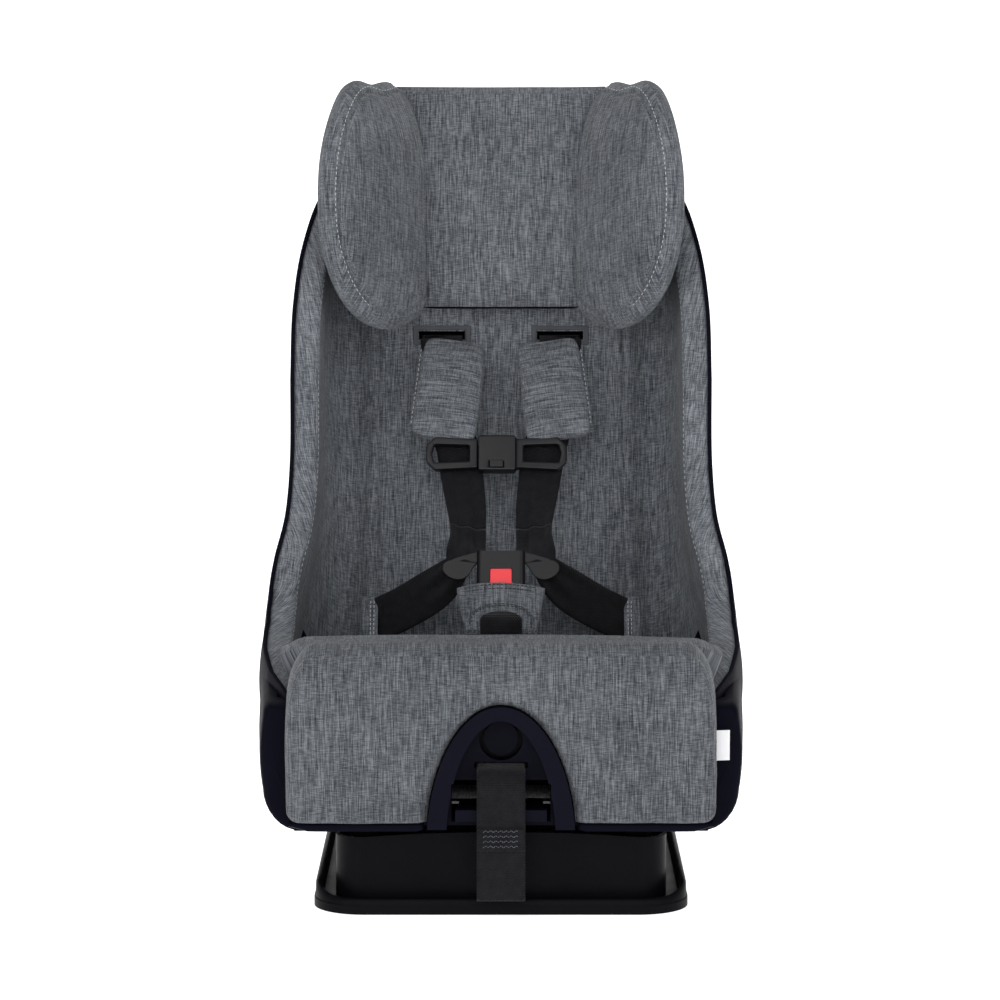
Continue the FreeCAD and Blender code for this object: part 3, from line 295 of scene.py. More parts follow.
# Painted light: the same cloth made lighter for the cover over the back and sides, standing in for
# light falling on them.
CLOTH_BUCKET_PAINTED_LIGHT = heather_cloth("cloth_heather_bucket_painted_light", 1.20)
SHELL = moulded("plastic_shell", (0.0022, 0.0022, 0.0062), 0.55, Specular_IOR_Level=0.03)
TRIM = moulded("plastic_trim", (0.0030, 0.0030, 0.0075), 0.50, Specular_IOR_Level=0.04)
BASE = moulded("plastic_base", (0.0022, 0.0022, 0.0036), 0.46, grain=900, depth=0.0002,
               Specular_IOR_Level=0.05)
HARDWARE = moulded("plastic_hardware", (0.0050, 0.0050, 0.0065), 0.32,
                   Specular_IOR_Level=0.26)
RED = moulded("plastic_red", (0.80, 0.048, 0.058), 0.38, spread=0.03, Specular_IOR_Level=0.3)
STEEL = moulded("steel_plated", (0.52, 0.53, 0.55), 0.34, grain=700, Metallic=1.0)
BLACK_STEEL = moulded("steel_black", (0.008, 0.008, 0.009), 0.45, Metallic=0.2,
                      Specular_IOR_Level=0.1)
RUBBER = moulded("rubber_pad", (0.018, 0.018, 0.018), 0.8, grain=600, depth=0.0002)
THREAD = moulded("thread_pale", (0.42, 0.44, 0.47), 0.8, grain=2500)
THREAD_DARK = moulded("thread_dark", (0.018, 0.019, 0.024), 0.8, grain=2500)
TAIL_THREAD = moulded("thread_grey", (0.07, 0.075, 0.09), 0.7, grain=2500)
WEBBING = webbing_cloth()
BEZEL = moulded("plastic_bezel_grey", (0.050, 0.054, 0.062), 0.7, grain=700, depth=0.0002)
LABEL = moulded("label_white", (0.75, 0.75, 0.77), 0.7, grain=2500)

FINISHES = {
    TRIM: ["arch_trim", "recline_handle", "harness_button"],
    BEZEL: ["slot_bezels"],
    SHELL: ["front_panel"],
    BASE: ["base_tray", "base_ribs"],
    BLACK_STEEL: ["base_track_left", "base_track_right", "seat_pan", "rocker_rail_left",
                  "rocker_rail_right", "adjuster_housing", "headrest_frame", "tether_anchor",
                  "tether_adjuster", "tether_hook"],
    STEEL: ["track_screws", "rail_screws", "adjuster_cam", "recline_lock_bar", "hip_anchor_left",
            "hip_anchor_right", "crotch_anchor", "splitter_plate", "lever_pin", "buckle_spring",
            "buckle_latch"],
    HARDWARE: ["post_guide", "headrest_lever", "buckle_case",
               "tongue_left", "tongue_right", "clip_left", "clip_right", "clip_button"],
    RED: ["buckle_button"],
    RUBBER: ["grip_pads"],
}
for material, names in FINISHES.items():
    for node in names:
        nodes[node].data.materials.clear()
        nodes[node].data.materials.append(material)

# ---------------------------------------------------------------- mesh helpers


def mm(points):
    """Points given in millimetres, as vectors in metres."""
    return [Vector(p) * MM for p in points]


def smooth(share):
    """Turns a share from 0 to 1 into one that starts and stops gently."""
    share = np.clip(share, 0, 1)
    return share * share * (3 - 2 * share)


def rounded_off(past, radius, drop):
    """How far a rounded corner falls at a distance past its start."""
    return drop * (1 - math.sqrt(max(0.0, 1 - (max(0.0, past) / radius) ** 2)))


def signed_power(value, power):
    return math.copysign(abs(value) ** power, value)


def add_object(name, mesh, body, material, replaced=()):
    """Links a mesh as a finished piece that moves with a CAD body."""
    obj = add_to_scene(name, mesh)
    mesh.materials.append(material)
    for face in mesh.polygons:
        face.use_smooth = True
    if body:
        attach(obj, body)
    if replaced:
        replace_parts(obj, *replaced)
    return obj


def grid_mesh(name, grid, around=False, caps=False):
    """Quads between the rows of a grid of points; around joins the last column to the first."""
    grid = np.asarray(grid, float)
    rows, columns = grid.shape[:2]
    faces = []
    for i in range(rows - 1):
        for j in range(columns if around else columns - 1):
            k = (j + 1) % columns
            faces.append((i * columns + j, i * columns + k,
                          (i + 1) * columns + k, (i + 1) * columns + j))
    if caps:
        faces.append(tuple(reversed(range(columns))))
        faces.append(tuple((rows - 1) * columns + j for j in range(columns)))
    mesh = bpy.data.meshes.new(name)
    mesh.from_pydata(grid.reshape(-1, 3).tolist(), [], faces)
    mesh.update()
    return mesh


def outward(mesh, merge=0.0):
    """Turns every face of a closed mesh outwards, after merging points closer than a distance."""
    work = bmesh.new()
    work.from_mesh(mesh)
    if merge:
        bmesh.ops.remove_doubles(work, verts=work.verts, dist=merge)
    bmesh.ops.recalc_face_normals(work, faces=work.faces)
    work.to_mesh(mesh)
    work.free()
    return mesh


def closed_mesh(name, rows):
    """A tube through rings of points, capped at both ends, with its faces outwards."""
    return outward(grid_mesh(name, np.array(rows), around=True, caps=True))


def apply_modifiers(obj):
    """Replaces the mesh by what its modifiers make of it."""
    bpy.context.view_layer.update()
    graph = bpy.context.evaluated_depsgraph_get()
    made = bpy.data.meshes.new_from_object(obj.evaluated_get(graph))
    obj.modifiers.clear()
    obj.data = made
    for face in made.polygons:
        face.use_smooth = True
    return obj


def modifier(obj, kind, **settings):
    """Adds a modifier with its settings."""
    made = obj.modifiers.new(kind.lower(), kind)
    for key, value in settings.items():
        setattr(made, key, value)
    return obj


def bevel(obj, width, angle, segments=3, **settings):
    """Rounds the edges that turn by more than an angle, by a width in millimetres."""
    modifier(obj, "BEVEL", width=width * MM, segments=segments, limit_method="ANGLE",
             angle_limit=math.radians(angle), **settings)


def coordinates(mesh):
    """A mesh's points as an array."""
    co = np.empty(len(mesh.vertices) * 3)
    mesh.vertices.foreach_get("co", co)
    return co.reshape(-1, 3)


def set_coordinates(mesh, co):
    mesh.vertices.foreach_set("co", np.asarray(co, float).ravel())
    mesh.update()


def crinkle(mesh, depth, scale, seed=0.0):
    """Moves a mesh in and out along its normals by smooth noise."""
    co = coordinates(mesh)
    normals = np.empty(len(co) * 3)
    mesh.vertices.foreach_get("normal", normals)
    normals = normals.reshape(-1, 3)
    push = [noise.noise(Vector(p * scale) + Vector((seed, seed, seed))) for p in co]
    set_coordinates(mesh, co + normals * (np.array(push) * depth)[:, None])


def smooth_path(points, steps=8):
    """Catmull-Rom line through the points."""
    points = [Vector(p) for p in points]
    padded = [2 * points[0] - points[1]] + points + [2 * points[-1] - points[-2]]
    line = []
    for a, b, c, d in zip(padded, padded[1:], padded[2:], padded[3:]):
        for step in range(steps):
            t = step / steps
            line.append(b + 0.5 * t * (c - a + t * (2 * a - 5 * b + 4 * c - d
                                                    + t * (3 * (b - c) + d - a))))
    line.append(points[-1])
    return line


def stitches(name, path, body, material=THREAD, stitch=3.2 * MM, gap=2.0 * MM, radius=0.38 * MM):
    """A row of thread stitches along a line of points, as one mesh of small spindles."""
    lengths = [0.0]
    for a, b in zip(path, path[1:]):
        lengths.append(lengths[-1] + (b - a).length)

    def at(distance):
        index = min(max(int(np.searchsorted(lengths, distance)) - 1, 0), len(path) - 2)
        share = (distance - lengths[index]) / max(lengths[index + 1] - lengths[index], 1e-9)
        return path[index].lerp(path[index + 1], share)

    verts, faces = [], []
    distance = 0.0
    while distance + stitch < lengths[-1]:
        start, end = at(distance), at(distance + stitch)
        way = (end - start).normalized()
        side = way.orthogonal().normalized()
        other = way.cross(side)
        base = len(verts)
        for share, size in ((0, 0.3), (0.2, 1), (0.8, 1), (1, 0.3)):
            centre = start.lerp(end, share)
            for turn in range(5):
                angle = 2 * math.pi * turn / 5
                turned = side * math.cos(angle) + other * math.sin(angle)
                verts.append(centre + turned * radius * size)
        for ring in range(3):
            for turn in range(5):
                a = base + ring * 5 + turn
                b = base + ring * 5 + (turn + 1) % 5
                faces.append((a, b, b + 5, a + 5))
        faces.append(tuple(base + 4 - t for t in range(5)))
        faces.append(tuple(base + 15 + t for t in range(5)))
        distance += stitch + gap
    mesh = bpy.data.meshes.new(name)
    mesh.from_pydata(verts, [], faces)
    return add_object(name, mesh, body, material)


# ---------------------------------------------------------------- the back's own frame

UP_BACK = Vector(joints["headrest_height"]["axis"]).normalized()
BACK_ORIGIN = Vector((0, 115 * MM, 350 * MM))
INTO_BACK = Vector((0, UP_BACK.z, -UP_BACK.y))
TO_BACK = Matrix(((1, 0, 0), (0, INTO_BACK.y, UP_BACK.y), (0, INTO_BACK.z, UP_BACK.z)))


def back_point(x, depth, up):
    """A point given in the back's frame, in millimetres."""
    return BACK_ORIGIN + TO_BACK @ Vector((x * MM, depth * MM, up * MM))


# ---------------------------------------------------------------- the bucket shell's surface

# Sections of the shell from the front lip, under the seat and up the back, in millimetres: the
# middle of the section (y, z), its free edge (y, z) and its half width.
STATIONS = np.array([
    (-192, 68, -184, 172, 170), (-125, 66, -138, 186, 185), (-55, 66, -96, 201, 200),
    (15, 67, -60, 218, 211), (75, 80, -36, 240, 215), (118, 118, -18, 268, 209),
    (137, 185, -8, 305, 197), (152, 270, 0, 355, 190.5), (167, 355, 11, 420, 188.5),
    (181, 440, 28, 482, 187.5), (193, 512, 56, 540, 180), (202, 572, 102, 590, 163),
    (207, 610, 158, 618, 128)], float) * MM
TOP = len(STATIONS) - 1
PER_STATION = 8
HALF_COLUMNS = 60


def section(place):
    """Points of one section of the shell, from its middle to its free edge, evenly spaced."""
    padded = np.vstack([2 * STATIONS[0] - STATIONS[1], STATIONS, 2 * STATIONS[-1] - STATIONS[-2]])
    index = min(max(int(math.floor(place)), 0), TOP - 1)
    share = place - index
    a, b, c, d = padded[index:index + 4]
    row = b + 0.5 * share * (c - a + share * (2 * a - 5 * b + 4 * c - d
                                              + share * (3 * (b - c) + d - a)))
    middle_y, middle_z, edge_y, edge_z, half = row
    torso = min(1.0, max(0.0, (place - 4) / 4))
    power = 2 / (5 - 0.5 * torso)
    angles = np.radians(90) * np.linspace(0, 1, 400) ** 0.8
    lift = 1 - np.clip(np.cos(angles), 0, 1) ** power
    x = half * np.sin(angles) ** power * (1 - (0.08 - 0.05 * torso) * lift ** 2)
    line = np.stack([x, middle_y + lift * (edge_y - middle_y),
                     middle_z + lift * (edge_z - middle_z)], 1)
    lengths = np.concatenate([[0], np.cumsum(np.linalg.norm(np.diff(line, axis=0), axis=1))])
    wanted = np.linspace(0, lengths[-1], HALF_COLUMNS + 1)
    return np.stack([np.interp(wanted, lengths, line[:, k]) for k in range(3)], 1)


class Surface:
    """A grid of points that can be read between them; normals point into the seat."""

    def __init__(self):
        self.low = -0.5
        rows = []
        for step in range(int((TOP - self.low) * PER_STATION) + 1):
            half = section(self.low + step / PER_STATION)
            rows.append(np.vstack([half[:0:-1] * (-1, 1, 1), half]))
        self.points = np.array(rows)
        self.across = np.gradient(self.points, axis=1)
        self.along = np.gradient(self.points, axis=0)
        self.normals = self.unit(np.cross(self.across, self.along))
        self.across = self.unit(self.across)
        self.along = self.unit(self.along)
        self.width = np.linalg.norm(np.diff(self.points, axis=1), axis=2).sum(1) / 2

    @staticmethod
    def unit(vectors):
        return vectors / np.maximum(np.linalg.norm(vectors, axis=-1, keepdims=True), 1e-12)

    def read(self, grid, place, side):
        """Values at places along the shell and sides from -1 to 1 across it."""
        row = np.clip((np.asarray(place) - self.low) * PER_STATION, 0, len(grid) - 1.001)
        column = np.clip((np.asarray(side) + 1) * HALF_COLUMNS, 0, grid.shape[1] - 1.001)
        i, j = row.astype(int), column.astype(int)
        f, g = (row - i)[..., None], (column - j)[..., None]
        return ((grid[i, j] * (1 - g) + grid[i, j + 1] * g) * (1 - f)
                + (grid[i + 1, j] * (1 - g) + grid[i + 1, j + 1] * g) * f)

    def face(self, place, side):
        """Points and unit normals at places."""
        return (self.read(self.points, place, side),
                self.unit(self.read(self.normals, place, side)))

    def half_width(self, place):
        """Half the shell's width along its surface."""
        return np.interp(place, self.low + np.arange(len(self.width)) / PER_STATION, self.width)


SHELL_FACE = Surface()


def flare(points, place, side):
    """Spreads the seat's lower front corners outwards."""
    wider = np.interp(place, [-0.5, 0, 1, 2, 3, 3.8], [1.08, 1.09, 1.11, 1.075, 1.02, 1.0])
    points = np.array(points)
    points[..., 0] *= 1 + (wider - 1) * smooth((np.abs(side) - 0.62) / 0.38)
    return points


BACK_NORMAL = -np.array(INTO_BACK)
# The ways across a piece's cloth, up it and through it.
WEAVE_FRONT = ((1, 0, 0), (0, 0, 1), (0, 1, 0))
WEAVE_TOP = ((1, 0, 0), (0, 1, 0), (0, 0, 1))
WEAVE_LYING = ((0, 0, 1), (1, 0, 0), (0, 1, 0))
WEAVE_BACK = ((1, 0, 0), UP_BACK, INTO_BACK)


def weave_points(mesh, uv):
    """Cloth coordinates in metres, one pair per point."""
    layer = mesh.uv_layers.new(name="weave")
    corners = np.empty(len(mesh.loops), int)
    mesh.loops.foreach_get("vertex_index", corners)
    layer.data.foreach_set("uv", np.asarray(uv, float)[corners].ravel())


def weave_uv(mesh, axes):
    """Cloth coordinates in metres, laid flat along a piece's own axes."""
    layer = mesh.uv_layers.new(name="weave")
    a, b, c = [Vector(v).normalized() for v in axes]
    for face in mesh.polygons:
        n = [abs(face.normal.dot(v)) for v in (a, b, c)]
        pair = (a, b) if n[2] >= max(n[0], n[1]) else ((c, b) if n[0] >= n[1] else (a, c))
        for corner in face.loop_indices:
            co = mesh.vertices[mesh.loops[corner].vertex_index].co
            layer.data[corner].uv = (co.dot(pair[0]), co.dot(pair[1]))


def cut_with(obj, cutters, solver="EXACT"):
    """Cuts closed meshes out of an object."""
    for cutter in cutters:
        modifier(obj, "BOOLEAN", operation="DIFFERENCE", solver=solver, object=cutter)
    apply_modifiers(obj)
    for cutter in cutters:
        bpy.data.objects.remove(cutter)
    return obj


def block(name, corners):
    """A closed hexahedron from its lower four and upper four corners."""
    mesh = bpy.data.meshes.new(name)
    mesh.from_pydata([tuple(c) for c in corners], [], [
        (3, 2, 1, 0), (4, 5, 6, 7), (0, 1, 5, 4), (1, 2, 6, 5), (2, 3, 7, 6), (3, 0, 4, 7)])
    return add_to_scene(name, mesh)


def back_block(name, x, depth, up):
    """A closed block between two values of each measure in the back's frame."""
    return block(name, [back_point(a, b, c) for c in up for a, b in (
        (x[0], depth[0]), (x[1], depth[0]), (x[1], depth[1]), (x[0], depth[1]))])


SLOT_ROWS = (110, 168)
SLOT_INNER, SLOT_OUTER, SLOT_HALF = 33, 75, 4


def slot_cutters(prefix, sign, depth):
    """Cutters for one side's harness slots, between two depths."""
    across = sorted((sign * SLOT_INNER, sign * SLOT_OUTER))
    return [back_block(f"{prefix}_{sign}_{row}", across, depth, (row - SLOT_HALF, row + SLOT_HALF))
            for row in SLOT_ROWS]


# ---------------------------------------------------------------- the shell

SHELL_WALL = 3.4 * MM
TUNNEL_HALF, TUNNEL_TOP, TUNNEL_TALL = 148.5, 540.5, 60
BELT_BACK, BELT_HIGH = (50, 94), (110, 144)


def thick_grid(name, front, back):
    """A closed sheet between two grids of points of the same size."""
    rows, columns = front.shape[:2]
    count = rows * columns
    faces = []
    for i in range(rows - 1):
        for j in range(columns - 1):
            a, d = i * columns + j, (i + 1) * columns + j
            quad = (a, a + 1, d + 1, d)
            faces += [quad, tuple(count + corner for corner in reversed(quad))]
    rim = list(range(columns)) + [i * columns + columns - 1 for i in range(1, rows)]
    rim += [(rows - 1) * columns + j for j in range(columns - 2, -1, -1)]
    rim += [i * columns for i in range(rows - 2, 0, -1)]
    faces += [(b, a, count + a, count + b) for a, b in zip(rim, rim[1:] + rim[:1])]
    mesh = bpy.data.meshes.new(name)
    mesh.from_pydata(np.vstack([front.reshape(-1, 3), back.reshape(-1, 3)]).tolist(), [], faces)
    mesh.update()
    return outward(mesh)


def make_shell():
    """The moulded bucket, with its tunnel over the base, belt paths and harness slots."""
    place, side = np.meshgrid(np.linspace(0, TOP, TOP * 6 + 1), np.linspace(-1, 1, 97),
                              indexing="ij")
    outer, normal = SHELL_FACE.face(place, side)
    mesh = thick_grid("bucket_shell", flare(outer, place, side),
                      flare(outer + normal * SHELL_WALL, place, side))
    shell = add_object("bucket_shell", mesh, None, SHELL)
    axis_z = joints["recline"]["pos_m"][2]
    deep = TUNNEL_TOP + TUNNEL_TALL
    corners = ((-TUNNEL_HALF, TUNNEL_TOP), (TUNNEL_HALF, TUNNEL_TOP), (TUNNEL_HALF, deep),
               (-TUNNEL_HALF, deep))
    rings = [[(x * MM, r * MM * math.sin(angle), axis_z - r * MM * math.cos(angle))
              for x, r in corners] for angle in np.radians(np.linspace(-25, 15, 24))]
    tunnel = add_to_scene("tunnel_cut", closed_mesh("tunnel_cut", rings))
    front, back = BELT_BACK
    belt = block("belt_cut", mm((x, y, z) for z in BELT_HIGH for x, y in (
        (-240, front), (240, front), (240, back), (-240, back))))
    cutters = [tunnel, belt]
    for _, sign in SIDES:
        cutters += slot_cutters("shell_slot", sign, (25, 65))
    cut_with(shell, cutters)
    bevel(shell, 0.9, 55, segments=2)
    apply_modifiers(shell)
    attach(shell, "shell")
    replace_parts(shell, "shell")


make_shell()

# ---------------------------------------------------------------- cover of the seat's shell

SIDE_DEPTH = 24 * MM
RIM_GAP = 3.4 * MM
CREASE_X = 121 * MM


def cover_surface(place, side):
    """The padded face of the cover at places on the shell: points and their normals."""
    place = np.asarray(place)
    base, normal = SHELL_FACE.face(place, side)
    facing = np.maximum(normal @ BACK_NORMAL, 0.5)
    gap = np.clip(((np.array(BACK_ORIGIN) - base) @ BACK_NORMAL) / facing, 20 * MM, 75 * MM)
    offside = np.abs(base[..., 0])
    share = smooth((154 * MM - offside) / (34 * MM)) * smooth((place - 4.3) / 1.2)
    depth = SIDE_DEPTH + (gap - SIDE_DEPTH) * share
    fade = np.clip((place - 5.0) / 0.6, 0, 1) * np.clip((11.6 - place) / 0.5, 0, 1)
    depth = depth - 4.2 * MM * np.exp(-((offside - CREASE_X) / (3.2 * MM)) ** 2) * fade
    puff = np.exp(-((np.abs(side) - 0.82) / 0.10) ** 2)
    depth = depth + 2.5 * MM * puff
    return base + normal * depth[..., None], normal


def make_cover():
    """The fitted cover over the back, the sides and round the shell's free edge."""
    wrap_steps = 16
    skin, bulge_depth, tucked = 3.3 * MM, 3.0 * MM, 9 * MM
    inner = np.linspace(-1, 1, 2 * 132 + 1)
    places = np.linspace(-0.12, TOP, 190)
    s_u = np.concatenate([np.linspace(1, 0, wrap_steps, endpoint=False), np.zeros(len(inner)),
                          np.linspace(0, 1, wrap_steps + 1)[1:]])
    t_u = np.concatenate([np.full(wrap_steps, -1.0), inner, np.full(wrap_steps, 1.0)])
    s_v = np.concatenate([np.zeros(len(places)), np.linspace(0, 1, wrap_steps + 1)[1:]])
    p_v = np.concatenate([places, np.full(wrap_steps, float(TOP))])
    place, side = np.meshgrid(p_v, t_u, indexing="ij")
    side = side * (1 - RIM_GAP / SHELL_FACE.half_width(place))
    wrap_v, wrap_u = np.meshgrid(s_v, s_u, indexing="ij")
    wrap = np.maximum(wrap_v, wrap_u)
    turn = np.pi * np.clip(wrap / 0.5, 0, 1)
    beyond = np.clip((wrap - 0.5) / 0.5, 0, 1)
    reach = tucked * beyond
    out_u = np.where(wrap > 0, wrap_u / np.maximum(wrap, 1e-9), 0) * np.sign(side)
    out_v = np.where(wrap > 0, wrap_v / np.maximum(wrap, 1e-9), 0)
    side_back = side - out_u * reach / SHELL_FACE.half_width(place)
    place_back = place - out_v * reach / (40 * MM)
    base, normal = SHELL_FACE.face(place_back, side_back)
    across = SHELL_FACE.read(SHELL_FACE.across, place, side)
    along = SHELL_FACE.read(SHELL_FACE.along, place, side)
    away = SHELL_FACE.unit(across * out_u[..., None] + along * out_v[..., None] + 1e-9)
    face, _ = cover_surface(place, side)
    depth_here = np.linalg.norm(face - SHELL_FACE.read(SHELL_FACE.points, place, side), axis=-1)
    depth = skin + (depth_here - skin) * (1 + np.cos(turn)) / 2
    depth = np.where(wrap > 0, depth, depth_here)
    bulge = np.where(wrap > 0, bulge_depth * np.sin(turn), 0) * (1 - beyond)
    points = flare(base + normal * depth[..., None] + away * bulge[..., None], place, side)
    mesh = grid_mesh("cover", points)
    step_u = np.linalg.norm(np.diff(points, axis=1), axis=2)
    run_u = np.concatenate([np.zeros((len(points), 1)), np.cumsum(step_u, axis=1)], axis=1)
    run_u -= run_u[:, [run_u.shape[1] // 2]]
    middle = points[:, points.shape[1] // 2]
    run_v = np.concatenate([[0], np.cumsum(np.linalg.norm(np.diff(middle, axis=0), axis=1))])
    uv = np.stack([run_u, np.broadcast_to(run_v[:, None], run_u.shape)], -1).reshape(-1, 2)
    weave_points(mesh, uv)
    crinkle(mesh, 0.5 * MM, 14)
    crinkle(mesh, 0.25 * MM, 45, 3.0)
    # The cover wears the lighter copy of the cloth, with painted light.
    cover = add_object("seat_cover", mesh, None, CLOTH_BUCKET_PAINTED_LIGHT)
    cutters = []
    for _, sign in SIDES:
        cutters += slot_cutters("slot_cut", sign, (-30, 20))
        cutters.append(back_block(f"hip_cut_{sign}", sorted((sign * 112.5, sign * 119.5)),
                                  (-22, 32), (-182, -139)))
    cut_with(cover, cutters)
    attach(cover, "shell")
    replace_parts(cover, "back_pad", "bolster_left", "bolster_right")


def edge_line(places, inset):
    """A line on the cover's face beside its edge, for one side and the other."""
    lines = []
    for _, sign in SIDES:
        side = sign * (1 - (inset + RIM_GAP) / SHELL_FACE.half_width(places))
        face, normal = cover_surface(places, side)
        face = flare(face + normal * 0.25 * MM, places, side)
        lines.append([Vector(p) for p in face])
    return lines


make_cover()
for index, line in enumerate(edge_line(np.linspace(0.3, 11.6, 240), 3.5 * MM)):
    stitches(f"cover_stitch_{index}", line, "shell")

# ---------------------------------------------------------------- padded forms


def rounded_form(name, half, power, crown, steps, outline=9.0):
    """A pad as a rounded block about the origin: X across, Y front (-) to back, Z up."""
    hx, hy, hz = half
    columns, rows = steps
    u = np.linspace(0, 2 * math.pi, 2 * columns, endpoint=False)
    v = np.linspace(-math.pi / 2, math.pi / 2, rows)
    grid = []
    for b in v:
        cb = abs(math.cos(b)) ** (2 / outline)
        sb = signed_power(math.sin(b), 2 / outline)
        line = []
        for a in u:
            ca, sa = signed_power(math.cos(a), 2 / power), signed_power(math.sin(a), 2 / power)
            x, y, z = hx * ca * cb, hy * sa * min(1.0, cb ** 3 * 1.02), hz * sb
            if sa < 0:
                y -= crown * max(0, 1 - (x / hx) ** 2) * max(0, 1 - (z / hz) ** 2)
            line.append((x, y, z))
        grid.append(line)
    return grid_mesh(name, grid, around=True, caps=True)


def outline_pillow(name, outline, thick, crown, seam, gusset_in, rings=26):
    """A pillow over an outline: points (a, b) in its plane, front at +c and back at 0."""
    outline = np.asarray(outline, float)
    centre = outline.mean(0)
    way = (outline - centre) / np.linalg.norm(outline - centre, axis=1)[:, None]
    grid = []
    for radius in np.linspace(0.02, 1, rings) ** 0.6:
        flat = centre + (outline - centre) * radius
        edge = np.linalg.norm(outline - flat, axis=1)
        height = thick + crown * (1 - radius ** 2.4)
        drop = thick * 0.5 * np.clip(1 - edge / (thick * 0.9), 0, 1) ** 2
        groove = seam * np.exp(-((edge - gusset_in) / (2.2 * MM)) ** 2)
        grid.append(np.column_stack([flat, height - drop - groove]))
    for angle in np.linspace(0.25, 1, 8):
        turn = angle * math.pi / 2
        flat = outline + way * (1.5 * MM * math.sin(2 * turn))
        grid.append(np.column_stack([flat, np.full(len(outline), thick * 0.5 * math.cos(turn))]))
    for radius in (0.97, 0.8, 0.4, 0.02):
        flat = centre + (outline - centre) * radius
        grid.append(np.column_stack([flat, np.zeros(len(outline))]))
    return grid_mesh(name, np.array(grid), around=True, caps=True)


def place_mesh(mesh, origin, turn):
    """Moves a mesh to a place, turned by a 3 by 3 matrix."""
    matrix = Matrix.Identity(4)
    for column in range(3):
        matrix.col[column][:3] = turn.col[column].normalized()
    matrix.col[3][:3] = Vector(origin)
    mesh.transform(matrix)
    mesh.update()


# ---------------------------------------------------------------- headrest

HEAD_LOW, HEAD_HIGH = 130, 333
HEAD_THICK = 26
WING_LOW, WING_HIGH = 104, 322
WING_WIDE = 128
WING_THICK, WING_BEHIND = 17, 15
# The wing's corners: how far each runs across, and up.
LOW_RUN, LOW_RISE = 80, 96
HIGH_RUN, HIGH_RISE = 68, 110


def crease_x(up):
    """Where the wing leaves the headrest's middle, at a height."""
    return 66 + 24 * min(1.0, max(0.0, (up - 235) / 95)) ** 2


def wing_point(run, up, sign, lift=0.0):
    """A point on a wing: along it from the crease, up the back, and off its face."""
    start = np.array([crease_x(up), -46.0])
    end = np.array([147.0, -146.0])
    way = (end - start) / np.linalg.norm(end - start)
    off = np.array([way[1], -way[0]])
    bow = 2 * math.sin(math.pi * min(max(run / WING_WIDE, 0), 1))
    spot = start + (end - start) * run / WING_WIDE + off * (lift - bow)
    return back_point(sign * spot[0], spot[1], up)


def wing_outline():
    """The wing's outline as (run, up), anticlockwise, in millimetres."""
    line = []
    for angle in np.linspace(0, math.pi / 2, 24):
        line.append((WING_WIDE - LOW_RUN + LOW_RUN * math.sin(angle),
                     WING_LOW + LOW_RISE - LOW_RISE * math.cos(angle)))
    for up in np.linspace(WING_LOW + LOW_RISE + 3, WING_HIGH - HIGH_RISE - 3, 6):
        line.append((WING_WIDE, up))
    for angle in np.linspace(0, math.pi / 2, 28):
        line.append((WING_WIDE - HIGH_RUN + HIGH_RUN * math.cos(angle),
                     WING_HIGH - HIGH_RISE + HIGH_RISE * math.sin(angle)))
    for run in np.linspace(54, 8, 9):
        line.append((run, WING_HIGH + 10 * smooth((50 - run) / 42)))
    for angle in np.linspace(0.2, math.pi / 2, 6):
        line.append((8 - 10 * math.sin(angle), WING_HIGH + 10 - 10 * (1 - math.cos(angle))))
    for up in np.linspace(WING_HIGH - 4, WING_LOW + 26, 30):
        line.append((-2, up))
    for share in np.linspace(0, 1, 10)[1:]:
        line.append((-2 + 47 * share, WING_LOW + 20 * (1 - share) ** 1.6))
    return np.array(line)


def make_wing(side, sign):
    """A crowned wing with a seam inside its edge."""
    name = f"wing_{side}"
    outline = wing_outline()
    mesh = outline_pillow(name, outline * MM, WING_THICK * MM, 9 * MM, 2.6 * MM, 11 * MM, rings=60)
    weave_uv(mesh, WEAVE_TOP)
    co = coordinates(mesh)
    for p in co:
        run, up, lift = p / MM
        p[:] = wing_point(run, up, sign, lift - WING_BEHIND)
    set_coordinates(mesh, co)
    if sign > 0:
        mesh.flip_normals()
    crinkle(mesh, 0.7 * MM, 16, 2.0 * sign)
    wing = add_object(name, mesh, "headrest", CLOTH, replaced=[f"head_wing_{side}"])
    inner = outline.mean(0) + (outline - outline.mean(0)) * 0.945
    path = [wing_point(run, up, sign, 3.0) for run, up in inner[6:66]]
    stitches(name + "_stitch", smooth_path(path, 3), "headrest", stitch=2.6 * MM,
             radius=0.32 * MM)


def make_head_pad():
    """The middle of the headrest, wider at its top, with a hem along its lower edge."""
    rows, columns = 46, 40
    grid = []
    for up in np.linspace(HEAD_LOW, HEAD_HIGH, rows):
        half = crease_x(up) + 5
        line = []
        edge = min(up - HEAD_LOW, HEAD_HIGH - up)
        tuck = 9 * (1 - smooth(edge / 10)) + 1.4 * math.exp(-((up - HEAD_LOW - 9) / 2.2) ** 2)
        for share in np.linspace(-1, 1, columns):
            crown = 3.5 * (1 - share ** 2) * (1 - ((up - 228) / 98) ** 4)
            line.append(back_point(share * half, -45 - crown + tuck, up))
        grid.append(line)
    mesh = grid_mesh("head_middle", np.array(grid))
    crinkle(mesh, 0.6 * MM, 18)
    pad = add_object("head_middle", mesh, None, CLOTH)
    modifier(pad, "SOLIDIFY", thickness=HEAD_THICK * MM, offset=-1)
    bevel(pad, 6, 50, segments=4)
    apply_modifiers(pad)
    weave_uv(pad.data, WEAVE_BACK)
    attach(pad, "headrest")
    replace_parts(pad, "head_pad")


